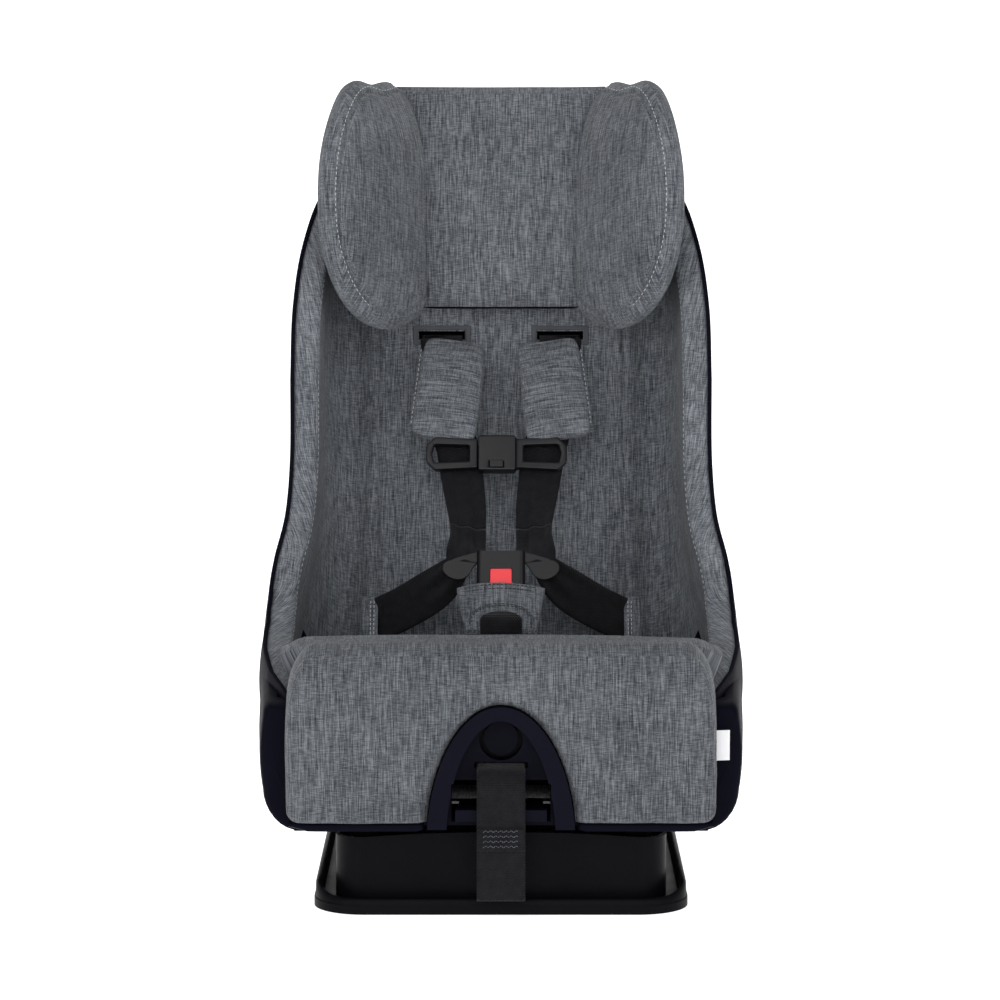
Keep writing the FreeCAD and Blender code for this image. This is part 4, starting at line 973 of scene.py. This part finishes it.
def make_head_shell():
    """The thin plastic shell behind the headrest's middle and wings."""
    reach = WING_WIDE - 5
    places = [(run, 0.0) for run in np.linspace(reach, 0, 26)]
    places += [(0.0, share) for share in np.linspace(0, 1, 16)[1:]]
    columns = []
    for run, share in places:
        low = WING_LOW + 4 + rounded_off(run - reach + LOW_RUN, LOW_RUN, LOW_RISE)
        low += 24 * (1 - smooth(run / 45))
        high = WING_HIGH - 4 - rounded_off(run - reach + HIGH_RUN, HIGH_RUN, HIGH_RISE)
        line = []
        for up in np.linspace(low, high, 40):
            start = wing_point(run, up, -1, -WING_BEHIND - 0.5)
            behind = INTO_BACK * 17.5 * MM * smooth(share / 0.22)
            line.append(start.lerp(Vector((0, start.y, start.z)), share) + behind)
        columns.append(line)
    left = np.array(columns)
    right = left[-2::-1] * (-1, 1, 1)
    front = np.vstack([left, right])
    normal = SHELL_FACE.unit(np.cross(np.gradient(front, axis=0), np.gradient(front, axis=1)))
    if normal[len(front) // 2, 20] @ BACK_NORMAL > 0:
        normal = -normal
    mesh = thick_grid("headrest_back", front, front + normal * 3.5 * MM)
    piece = add_object("headrest_back", mesh, None, SHELL)
    bevel(piece, 1.2, 55)
    apply_modifiers(piece)
    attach(piece, "headrest")
    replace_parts(piece, "headrest_shell")


make_head_pad()
make_head_shell()
for name, sign in SIDES:
    make_wing(name, sign)

# ---------------------------------------------------------------- front roll and seat pad

ROLL = {"half": 169, "front": -233, "back": -196, "top": 217, "bottom": 77, "rear": -186}
ARCH_HALF, ARCH_TALL, ARCH_BASE = 58.3, 109.5, 60


def arch_distance(x, z):
    """Roughly how far a point of the front is outside the arch's ellipse, in millimetres."""
    half, tall, z = ARCH_HALF + 1.2, ARCH_TALL + 1.2, z - ARCH_BASE
    level = math.hypot(x / half, z / tall)
    slope = math.hypot(x / half ** 2, z / tall ** 2)
    return (level - 1) * level / max(slope, 1e-6)


def roll_profile(x):
    """The roll's section at x, as (y, z) from the back of its apron round to its top's rear."""
    off = abs(x)
    drop = rounded_off(off - 143, 26, 42)
    top = ROLL["top"] - drop
    bottom = ROLL["bottom"] + rounded_off(off - 159, 10, 9)
    front = ROLL["front"] + rounded_off(off - 147, 22, 12)
    line = [(ROLL["back"], bottom + 1.5), (ROLL["back"] - 10, bottom), (front + 9, bottom)]
    line += [(front + 9 - 9 * math.sin(a), bottom + 9 - 9 * math.cos(a)) for a in (0.5, 1.0)]
    tall = top - bottom
    line += [(front + 3.5, bottom + 0.10 * tall), (front + 0.8, bottom + 0.24 * tall),
             (front, bottom + 0.42 * tall), (front + 0.6, bottom + 0.60 * tall)]
    line += [(front + 1.5 + 31 * (1 - math.cos(a)), top - 40 + 40 * math.sin(a))
             for a in np.linspace(0.12, 1.45, 9)]
    line += [(ROLL["rear"], top), (ROLL["rear"] + 24, top - 1.0 - 0.2 * drop)]
    return smooth_path([(0, y, z) for y, z in line], 5)


def make_roll():
    """The rolled cushion over the front edge, cut open around the arch."""
    sweep = math.pi / 2 * 0.86
    xs = ROLL["half"] * np.sin(np.linspace(-1, 1, 151) * sweep) / math.sin(sweep)
    lip = 8.0
    grid = []
    for x in xs:
        line = roll_profile(x)
        lengths = np.concatenate([[0], np.cumsum([(b - a).length for a, b in zip(line, line[1:])])])
        even = np.linspace(0, lengths[-1], 110)
        y = np.interp(even, lengths, [p.y for p in line])
        z = np.interp(even, lengths, [p.z for p in line])
        for k in range(len(y)):
            near = max(arch_distance(x, z[k]), 0)
            if y[k] < -205:
                pull = lip - math.sqrt(max(0, lip ** 2 - (lip - min(near, lip)) ** 2))
                y[k] += 0.9 * pull + 2.4 * math.exp(-near / 14)
        grid.append(np.column_stack([np.full(len(y), x), y, z]))
    grid = np.array(grid)
    caps = []
    for share in (0.82, 0.5, 0.2):
        ends = []
        for end, sign in ((grid[0], -1), (grid[-1], 1)):
            middle = np.array([end[0][0], -204, 140])
            ring = middle + (end - middle) * share
            ring[:, 0] = end[:, 0] + sign * 1.6 * (1 - share)
            ends.append(ring)
        caps.append(ends)
    rows = [c[0] for c in reversed(caps)] + list(grid) + [c[1] for c in caps]
    mesh = grid_mesh("front_roll", np.array(rows) * MM, around=True, caps=True)
    weave_uv(mesh, WEAVE_FRONT)
    crinkle(mesh, 0.9 * MM, 11)
    crinkle(mesh, 0.3 * MM, 40, 5.0)
    outward(mesh)
    # The front roll wears the darker copy of the cloth, with painted shade.
    roll = add_object("front_roll", mesh, None, CLOTH_FRONT_PAINTED_SHADE)
    angles = np.linspace(0, math.pi, 97)
    half, tall = ARCH_HALF + 0.9, ARCH_TALL + 0.9
    ring = [(half * math.cos(a), ARCH_BASE + tall * math.sin(a)) for a in angles]
    ring = [(ring[0][0], 20)] + ring + [(ring[-1][0], 20)]
    prism = np.array([[(x, y, z) for x, z in ring] for y in (-260, -150)]) * MM
    cut_with(roll, [add_to_scene("arch_cut", closed_mesh("arch_cut", prism))])
    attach(roll, "shell")


def make_seat_pad():
    """The seat between the sides, from the roll back to the buckle and the back pad."""
    rows = []
    profile = [(-176, 212), (-160, 216), (-130, 214), (-60, 204), (20, 191), (70, 184), (92, 178),
               (100, 168), (100, 156)]
    for p in smooth_path([(0, y, z) for y, z in profile]):
        line = []
        wide = 151 + 26 * smooth((-70 - p.y) / 60)
        for share in np.linspace(-1, 1, 61):
            fall = 7 * smooth((abs(share) - 0.86) / 0.14) ** 2 + 2.0 * abs(share) ** 2
            line.append((share * wide, p.y, p.z - fall))
        rows.append(line)
    mesh = grid_mesh("seat_pad", np.array(rows) * MM)
    weave_uv(mesh, WEAVE_TOP)
    crinkle(mesh, 1.0 * MM, 12)
    pad = add_object("seat_pad", mesh, None, CLOTH)
    modifier(pad, "SOLIDIFY", thickness=24 * MM, offset=-1)
    apply_modifiers(pad)
    corners = [(x, y, z) for z in (100, 240) for x, y in (
        (-21, -24), (21, -24), (21, -10), (-21, -10))]
    cut_with(pad, [block("crotch_cut", mm(corners))])
    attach(pad, "shell")
    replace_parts(pad, "seat_cushion")


make_roll()
make_seat_pad()

# ---------------------------------------------------------------- webbing


def strap(name, path, across, widths, body=None, curl=None, thick=1.7):
    """Webbing along a path of points in metres; widths in millimetres and directions per point."""
    steps, columns, edge_share = 9, 15, 0.06

    def along(values):
        return [v.x for v in smooth_path([(value, 0, 0) for value in values], steps)]

    line = smooth_path(path, steps)
    dirs = smooth_path(across, steps)
    wide = along(widths)
    curls = along(curl or [0] * len(path))
    rows, uv = [], []
    length = 0.0
    for i, point in enumerate(line):
        way = (line[min(i + 1, len(line) - 1)] - line[max(i - 1, 0)]).normalized()
        if i:
            length += (point - line[i - 1]).length
        side = (dirs[i] - way * dirs[i].dot(way)).normalized()
        out = way.cross(side)
        ring = []
        for face in (1, -1):
            for k in range(columns):
                share = (k / (columns - 1) * 2 - 1) * face
                edge = 1 - rounded_off(abs(share) - 1 + edge_share, edge_share, 1)
                lift = curls[i] * (math.cos(share * 7.2) - 0.3) * MM
                ring.append(point + side * (wide[i] / 2 * share * MM)
                            + out * (face * thick / 2 * MM * (0.35 + 0.65 * edge) + lift))
                uv.append((share * WEB_WIDE / 2 * MM, length))
        rows.append(ring)
    mesh = grid_mesh(name, np.array(rows), around=True, caps=True)
    weave_points(mesh, uv)
    return add_object(name, mesh, body, WEBBING)


LEVEL = Vector((1, 0, 0))


def make_harness_straps():
    """Each side's webbing: behind the shell, to the chest clip, to the tongue and to the hip."""
    for name, sign in SIDES:
        def to_side(points):
            return mm((sign * x, y, z) for x, y, z in points)

        rear = [back_point(sign * 20, 53, -60), back_point(sign * 34, 53, -5),
                back_point(sign * 52, 53.8, 80), back_point(sign * 54, 52, 104),
                back_point(sign * 54, 46, 109.5), back_point(sign * 54, 10, 110),
                back_point(sign * 54, -4, 109)]
        strap(f"strap_rear_{name}", rear, [LEVEL] * 7, [36] * 7, "shell")
        upper = to_side([(54, 111, 457), (52.5, 108, 440), (47.5, 93, 404), (43, 78, 372),
                         (38.5, 71.5, 358)])
        piece = strap(f"strap_shoulder_{name}", upper, [LEVEL] * 5, [WEB_WIDE] * 5)
        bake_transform(piece)
        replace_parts(piece, f"shoulder_strap_{name}")
        middle = to_side([(38.5, 71.5, 358), (36.5, 67, 346), (33.5, 58, 326), (30.5, 45.5, 306),
                          (29, 34, 290)])
        tilt = [LEVEL, LEVEL, Vector((1, 0, 0.05 * sign)), Vector((1, -0.1 * sign, 0.1 * sign)),
                Vector((1, -0.2 * sign, 0.25 * sign))]
        piece = strap(f"strap_chest_{name}", middle, tilt, [WEB_WIDE, WEB_WIDE, 37, 35, 33],
                      curl=[0, 0, 0.2, 0.8, 1.4])
        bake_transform(piece)
        lower = to_side([(29, 34, 290), (29.2, 25, 279), (30, 13, 269), (31, 5.5, 262)])
        tilt = [tilt[-1], Vector((1, -0.3 * sign, 0.3 * sign)),
                Vector((1, -0.2 * sign, 0.2 * sign)), LEVEL]
        piece = strap(f"strap_tongue_{name}", lower, tilt, [33, 34, 36, 33],
                      curl=[1.4, 1.8, 1.2, 0.4])
        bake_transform(piece)
        lap = to_side([(36, 7, 261), (42, 12, 253), (53, 22, 241), (67, 32, 230), (86, 42, 218),
                       (104, 48, 209), (116, 56, 204), (124, 72, 200)])
        ways = [(0.5, 0, 1), (0.6, 0, 1), (0.62, 0.1, 1), (0.55, 0.1, 1), (0.45, 0.1, 1),
                (0.3, 0.1, 1), (0.1, 0.17, 1), (0, 0.17, 1)]
        ways = [Vector((sign * a, b, c)) for a, b, c in ways]
        piece = strap(f"strap_lap_{name}", lap, ways, [20, 27, 35] + [WEB_WIDE] * 5,
                      curl=[0.8, 2.0, 1.6, 0.5, 0, 0, 0, 0])
        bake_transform(piece)
        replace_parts(piece, f"lap_strap_{name}")


make_harness_straps()

# ---------------------------------------------------------------- shoulder, crotch and hip pieces


SHOULDER_PAD = (28.5, 7.5, 49)
SHOULDER_SPREAD, SHOULDER_LEAN = 7, 27.5


def make_shoulder_pads():
    """Padded sleeves on the shoulder straps, each with a stitched seam along its outer edge."""
    for name, sign in SIDES:
        mesh = rounded_form(f"shoulder_pad_{name}", [half * MM for half in SHOULDER_PAD], power=4.0,
                            crown=3.5 * MM, steps=(40, 80))
        co = coordinates(mesh)
        for p in co:
            z = p[2] / (SHOULDER_PAD[2] * MM)
            p[0] *= 1 - 0.03 * z
            hem = 1.2 * math.exp(-((abs(z) - 0.90) / 0.05) ** 2)
            p[1] += (hem - 3.0 * max(0, z - 0.7) ** 2) * MM
        set_coordinates(mesh, co)
        weave_uv(mesh, WEAVE_LYING)
        crinkle(mesh, 0.8 * MM, 35, sign)
        spin = (Matrix.Rotation(math.radians(-sign * SHOULDER_SPREAD), 3, "Y")
                @ Matrix.Rotation(math.radians(-SHOULDER_LEAN), 3, "X"))
        origin = Vector((sign * 47, 95.5, 406)) * MM + spin @ Vector((0, -7.2 * MM, 0))

        def on_pad(x, y, z):
            return origin + spin @ Vector((sign * x * MM, y * MM, z * MM))

        place_mesh(mesh, origin, spin)
        pad = add_object(f"pad_shoulder_{name}", mesh, "shell", CLOTH,
                         replaced=[f"shoulder_pad_{name}"])
        rows = [[on_pad(x, y, z) for x, y in ((26, 2.5), (31.2, 2.9), (31.2, 4.3), (26, 4.6))]
                for z in np.linspace(-44, 44, 40)]
        flap = grid_mesh(f"pad_seam_{name}", np.array(rows), around=True, caps=True)
        weave_uv(flap, WEAVE_LYING)
        add_object(f"pad_seam_{name}", flap, "shell", CLOTH)
        line = [on_pad(29.8, 2.3, z) for z in np.linspace(-36, 44, 40)]
        stitches(f"pad_stitch_{name}", line, "shell", stitch=2.8 * MM)


BUCKLE_ORIGIN = Vector((0, 2, 243)) * MM
BUCKLE_TURN = Matrix.Rotation(math.radians(-20), 3, "X")


def buckle_point(x, y, z):
    """A point given in the buckle's leaning frame, in millimetres."""
    return BUCKLE_ORIGIN + BUCKLE_TURN @ (Vector((x, y, z)) * MM)


def make_crotch_pad():
    """The cover over the crotch strap, with dark seams and the arched mouth at its foot."""
    rows, columns = 44, 40
    grid = []
    for v in np.linspace(0, 1, rows):
        half = 30.5 + 8.1 * v
        line = []
        for a in np.linspace(0, 2 * math.pi, columns, endpoint=False):
            ca, sa = signed_power(math.cos(a), 0.42), signed_power(math.sin(a), 0.6)
            end = smooth(min(v, 1 - v) / 0.09)
            x = half * ca * (0.985 + 0.015 * end)
            crown = 1.6 * (1 - (x / half) ** 2) if sa < 0 else 0
            top = 4.6 * (1 - (x / 38) ** 2) * v
            line.append((x, -17 + 6.2 * sa * (0.35 + 0.65 * end) - crown, -49 + 40.8 * v + top))
        grid.append(line)
    mesh = grid_mesh("crotch_cover", np.array(grid) * MM, around=True, caps=True)
    weave_uv(mesh, WEAVE_FRONT)
    crinkle(mesh, 0.8 * MM, 30, 7.0)
    place_mesh(mesh, BUCKLE_ORIGIN, BUCKLE_TURN)
    pad = add_object("crotch_cover", mesh, "shell", CLOTH, replaced=["crotch_pad"])

    foot = -38
    for index, inset in enumerate((3.2, 6.6)):
        arc = [buckle_point(x, -24.5 - 0.9 * (1 - (x / 36) ** 2),
                            -8.0 - inset + 4.6 * (1 - (x / 38) ** 2))
               for x in np.linspace(-35 + inset, 35 - inset, 40)]
        wide, tall = 27.5 - 1.6 * index, 14.5 - 1.6 * index
        arch = [buckle_point(wide * math.cos(a), -25.0 - 0.5 * math.sin(a),
                             foot + tall * math.sin(a))
                for a in np.linspace(-0.3, math.pi + 0.3, 48)]
        for seam, line in (("stitch", arc), ("arch", arch)):
            stitches(f"crotch_{seam}_{index}", line, "shell", material=THREAD_DARK,
                     stitch=2.6 * MM, gap=0.9 * MM, radius=0.4 * MM)
    half = 17.8
    mouth = [(half * math.cos(a), foot + 7.8 * math.sin(a)) for a in np.linspace(0, math.pi, 24)]
    mouth = [(half, -50)] + mouth + [(-half, -50)]
    rows = [[buckle_point(x, -lift, z) for x, z in mouth] for lift in (24.0, 25.9)]
    opening = grid_mesh("crotch_opening", np.array(rows), around=True, caps=True)
    weave_uv(opening, WEAVE_FRONT)
    add_object("crotch_opening", opening, "shell", WEBBING)


def make_hip_tabs():
    """Stitched cloth edges beside the openings that the lap straps come out of."""
    def spot(x, lift, up):
        return Vector((sign * x, 44 + 0.42 * (up - 204) - lift, up)) * MM

    for name, sign in SIDES:
        rows = []
        for up in np.linspace(182, 227, 24):
            rows.append([spot(116.5 + 7.5 * math.cos(a), 2.0 * math.sin(a), up)
                         for a in np.linspace(0, 2 * math.pi, 18, endpoint=False)])
        mesh = closed_mesh(f"hip_tab_{name}", rows)
        weave_uv(mesh, WEAVE_FRONT)
        add_object(f"hip_tab_{name}", mesh, "shell", CLOTH)
        for k, x in enumerate((112.5, 115.5)):
            line = [spot(x, 2.3, up) for up in np.linspace(184, 225, 30)]
            stitches(f"hip_stitch_{name}_{k}", line, "shell", stitch=2.8 * MM, gap=1.2 * MM)


def make_label():
    """A blank fabric label that stands out from the roll's side."""
    rows = []
    for v in np.linspace(0, 1, 14):
        z = 148 - 24 * v
        curl = 1.2 * math.sin(v * 2.2) / 14 - 0.12
        rows.append([(165.5 + u, -209.5 + curl * u, z + 0.05 * u)
                     for u in np.linspace(0, 14.5, 9)])
    label = add_object("side_label", grid_mesh("side_label", np.array(rows) * MM), None, LABEL)
    modifier(label, "SOLIDIFY", thickness=0.7 * MM, offset=0)
    modifier(label, "BEVEL", width=0.2 * MM, segments=2)
    apply_modifiers(label)
    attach(label, "shell")


def shell_half(y, z):
    """The shell's outer half width at a place on its side, in millimetres."""
    right = FLARED[:, HALF_COLUMNS + 20:] / MM
    near = np.hypot(right[..., 1] - y, right[..., 2] - z).argmin()
    return right[..., 0].ravel()[near]


FLARED = flare(SHELL_FACE.points, *np.meshgrid(
    SHELL_FACE.low + np.arange(len(SHELL_FACE.points)) / PER_STATION,
    np.linspace(-1, 1, 2 * HALF_COLUMNS + 1), indexing="ij"))


def make_side_panels():
    """The boxed lower corners of the shell, beside the front roll."""
    # Each station's depth, the height of its top and its outer half width.
    stations = [(-200, 163, 186), (-198, 166, 189.5), (-192, 168, 191), (-186, 169, 192),
                (-176, 171, 193), (-150, 175, 195.5), (-120, 181, 198.5), (-90, 189, 201),
                (-60, 200, 203), (-30, 212, 204.5), (0, 222, 204), (30, 228, 202), (60, 234, 199)]
    for name, sign in SIDES:
        rows = []
        for y, top, wide in stations:
            at_front = y < -180
            inner = 164 if at_front else wide - 10
            low = 66.3 + 0.02 * (y + 200)
            ring = ([(inner, low + 4), (inner, low)] if at_front
                    else [(inner - 8, low + 5), (inner - 8, low)])
            for angle in np.linspace(0, math.pi / 2, 9):
                x = wide - 30 + 28 * math.sin(angle)
                ring.append((x, low + 32 - 32 * math.cos(angle)))
            for z in np.linspace(low + 36, top - 12, 14):
                bow = 2.5 * math.sin(math.pi * min(1, (z - low - 30) / (top - low - 40)))
                ring.append((wide - 2 + bow, z))
            for angle in np.linspace(0.2, math.pi / 2, 8):
                ring.append((wide - 8 + 6 * math.cos(angle), top - 10 + 10 * math.sin(angle)))
            ring += [(inner - (0 if at_front else 4), top - 1), (inner, top - 10)]
            blend = smooth((y + 20) / 80)
            line = []
            for x, z in ring:
                x -= blend * max(0.0, x - shell_half(y, z) + 1.5)
                line.append((sign * x, y, z))
            rows.append(line)
        front = np.array(rows[0])
        middle = front.mean(0)
        faces = [middle + (front - middle) * share - (0, 0.8 * (1 - share ** 2), 0)
                 for share in (0.03, 0.35, 0.65, 0.9)]
        rows = [list(face) for face in faces] + rows
        mesh = closed_mesh(f"side_panel_{name}", np.array(rows) * MM)
        panel = add_object(f"side_panel_{name}", mesh, None, SHELL)
        bevel(panel, 2.2, 50)
        apply_modifiers(panel)
        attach(panel, "shell")


def plate(name, outline, y, thick, body, material, width):
    """A flat plate with softened edges in the buckle's frame, from points joined smoothly."""
    ring = [(x, 0, z) for x, z in outline]
    ring = smooth_path(ring[-2:] + ring + ring[:2], 5)[10:-6]
    mesh = bmesh.new()
    rim = [mesh.verts.new(buckle_point(p.x, y, p.z)) for p in ring]
    edges = [mesh.edges.new((a, b)) for a, b in zip(rim, rim[1:] + rim[:1])]
    bmesh.ops.triangle_fill(mesh, use_beauty=True, edges=edges)
    deep = buckle_point(0, thick, 0) - buckle_point(0, 0, 0)
    made = bmesh.ops.extrude_face_region(mesh, geom=mesh.faces[:] + mesh.edges[:] + mesh.verts[:])
    moved = [item for item in made["geom"] if isinstance(item, bmesh.types.BMVert)]
    bmesh.ops.translate(mesh, vec=deep, verts=moved)
    bmesh.ops.recalc_face_normals(mesh, faces=mesh.faces)
    data = bpy.data.meshes.new(name)
    mesh.to_mesh(data)
    piece = add_object(name, data, None, material)
    bevel(piece, width, 50, harden_normals=True)
    apply_modifiers(piece)
    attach(piece, body)
    return piece


def make_tongues():
    """Wing-shaped tongues whose blades go into the buckle."""
    for name, sign in SIDES:
        wing = [(1, 19), (1, 28), (14, 29), (28, 26), (47, 19.5), (50.5, 13), (46, 6.5),
                (37, 3.5), (29, 7), (24, 15), (17, 20)]
        blade = [(1.5, 5), (2, 22), (16, 22), (16.5, 5)]
        made = plate(f"tongue_wing_{name}", [(sign * x, z) for x, z in wing], -3.4, 4.4,
                     f"tongue_{name}", HARDWARE, 1.4)
        plate(f"tongue_blade_{name}", [(sign * x, z) for x, z in blade], -1.2, 2.4,
              f"tongue_{name}", HARDWARE, 0.4)
        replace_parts(made, f"tongue_{name}")


def make_front_lips():
    """The shell's edge under the roll, on each side of the arch."""
    for name, sign in SIDES:
        rows = []
        for x in np.concatenate([[61, 62.5], np.linspace(66, 158, 16), [163, 166, 167]]):
            tuck = 3 * smooth((x - 150) / 17) + 1.2 * smooth((66 - x) / 5)
            rows.append([(sign * x, y, z) for y, z in (
                (-190, 77.5), (-190, 72 + tuck), (-205, 70.5 + tuck), (-222 + tuck, 70 + tuck),
                (-226 + tuck, 71.5 + tuck), (-227 + tuck, 74.5), (-225 + tuck, 77.5))])
        mesh = closed_mesh(f"front_lip_{name}", np.array(rows) * MM)
        add_object(f"front_lip_{name}", mesh, "shell", SHELL)


def make_base_rim():
    """The raised rim round the edge of the base's flange."""
    # Each corner of the flange, its radius and the angle that its arc starts from.
    corners = [(-150, -205, 42, 180), (150, -205, 42, 270), (158, 190, 28, 0),
               (-158, 190, 28, 90)]
    rows = []
    for corner_x, corner_y, radius, first in corners:
        centre_x = corner_x - math.copysign(radius, corner_x)
        centre_y = corner_y - math.copysign(radius, corner_y)
        for angle in np.radians(np.linspace(first, first + 90, 14)):
            out_x, out_y = math.cos(angle), math.sin(angle)
            x, y = centre_x + radius * out_x, centre_y + radius * out_y
            height = 13 + 9 * smooth((y + 200) / 45)
            rows.append([(x - out_x * inset, y - out_y * inset, z) for inset, z in (
                (0.3, 1.2), (0.1, 4), (0.4, height - 3), (1.4, height - 0.8), (3, height),
                (4.6, height - 0.8), (5.6, height - 3), (6.6, 6))])
    rows.append(rows[0])
    mesh = outward(grid_mesh("base_rim", np.array(rows) * MM, around=True), merge=0.01 * MM)
    add_object("base_rim", mesh, "base", BASE)


make_side_panels()
make_front_lips()
make_base_rim()
make_tongues()
make_shoulder_pads()
make_crotch_pad()
make_hip_tabs()
make_label()

# ---------------------------------------------------------------- hard pieces from the CAD


def soften(node, width):
    """Rounds the CAD edges of a hard piece for the picture, by a width in millimetres."""
    obj = nodes[node]
    for face in obj.data.polygons:
        face.use_smooth = True
    modifier(obj, "WELD", merge_threshold=0.02 * MM)
    bevel(obj, width, 32, segments=2, harden_normals=True)
    modifier(obj, "WEIGHTED_NORMAL", keep_sharp=True)


ROUNDED = {
    2.2: ["arch_trim"],
    1.8: ["buckle_case"],
    1.6: ["base_tray"],
    1.5: ["clip_left", "clip_right"],
    1.4: ["recline_handle"],
    1.0: ["buckle_button", "harness_button", "headrest_lever", "adjuster_housing",
          "tether_adjuster"],
    0.8: ["base_ribs", "seat_pan", "front_panel", "headrest_frame", "tether_hook", "post_guide"],
    0.7: ["clip_button"],
    0.5: ["tether_anchor", "splitter_plate"],
    0.4: ["slot_bezels", "grip_pads"],
}
for width, names in ROUNDED.items():
    for node in names:
        soften(node, width)

# ---------------------------------------------------------------- straps at the front, back and seat


def middle_strap(name, path, wide, body=None, thick=1.7):
    """A strap that keeps its width and lies level across the seat's middle."""
    return strap(name, path, [LEVEL] * len(path), [wide] * len(path), body, thick=thick)


def make_other_straps():
    """The crotch strap, the harness adjuster's strap with its free tail, and the tether."""
    crotch = middle_strap("strap_crotch", mm([(0, -17, 141), (0, -17, 165), (0, -14, 190),
                                              (0, -8, 214)]), 36, "shell")
    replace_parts(crotch, "crotch_strap")
    inner = [back_point(0, 54, -80), back_point(0, 60, -92)] + mm([
        (0, 154, 225), (0, 146, 190), (0, 132, 143), (0, 112, 107), (0, 88, 100.4), (0, 0, 100),
        (0, -112, 105.5), (0, -156, 120), (0, -186, 121.3), (0, -212, 121.2)])
    inner = middle_strap("strap_adjuster", inner, WEB_WIDE, "shell", thick=1.5)
    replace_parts(inner, "adjuster_strap_inner")
    tail = mm([(0, -205, 121.3), (0, -216, 120.8), (0, -226, 116.5), (0, -231.5, 106),
               (0, -233, 92), (0, -233.6, 70), (0, -233.3, 45), (0, -232.6, 17)])
    piece = middle_strap("strap_tail", tail, WEB_WIDE, thick=1.8)
    end = middle_strap("strap_tail_fold", mm([(0, -235.1, 75), (0, -235.4, 66), (0, -235.2, 57)]),
                       WEB_WIDE, thick=1.4)
    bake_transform(piece)
    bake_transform(end)
    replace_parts(piece, "adjuster_strap_tail")
    for row in range(4):
        z = 73 - row * 4.0
        zigzag = mm((x, -236.5, z + (1.1 if k % 2 else -1.1))
                    for k, x in enumerate(np.linspace(-14, 14, 15)))
        made = stitches(f"tail_stitch_{row}", zigzag, None, material=TAIL_THREAD, stitch=1.9 * MM,
                        gap=0.5 * MM, radius=0.35 * MM)
        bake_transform(made)
    tether = [back_point(0, depth, up) for depth, up in (
        (51, 204), (54.4, 198), (54.2, 160), (55.5, 130), (55.5, 98), (56.6, 76), (56.7, 62),
        (53.5, 57))]
    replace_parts(middle_strap("strap_tether", tether, TETHER_WIDE, "shell"), "tether_strap")


make_other_straps()
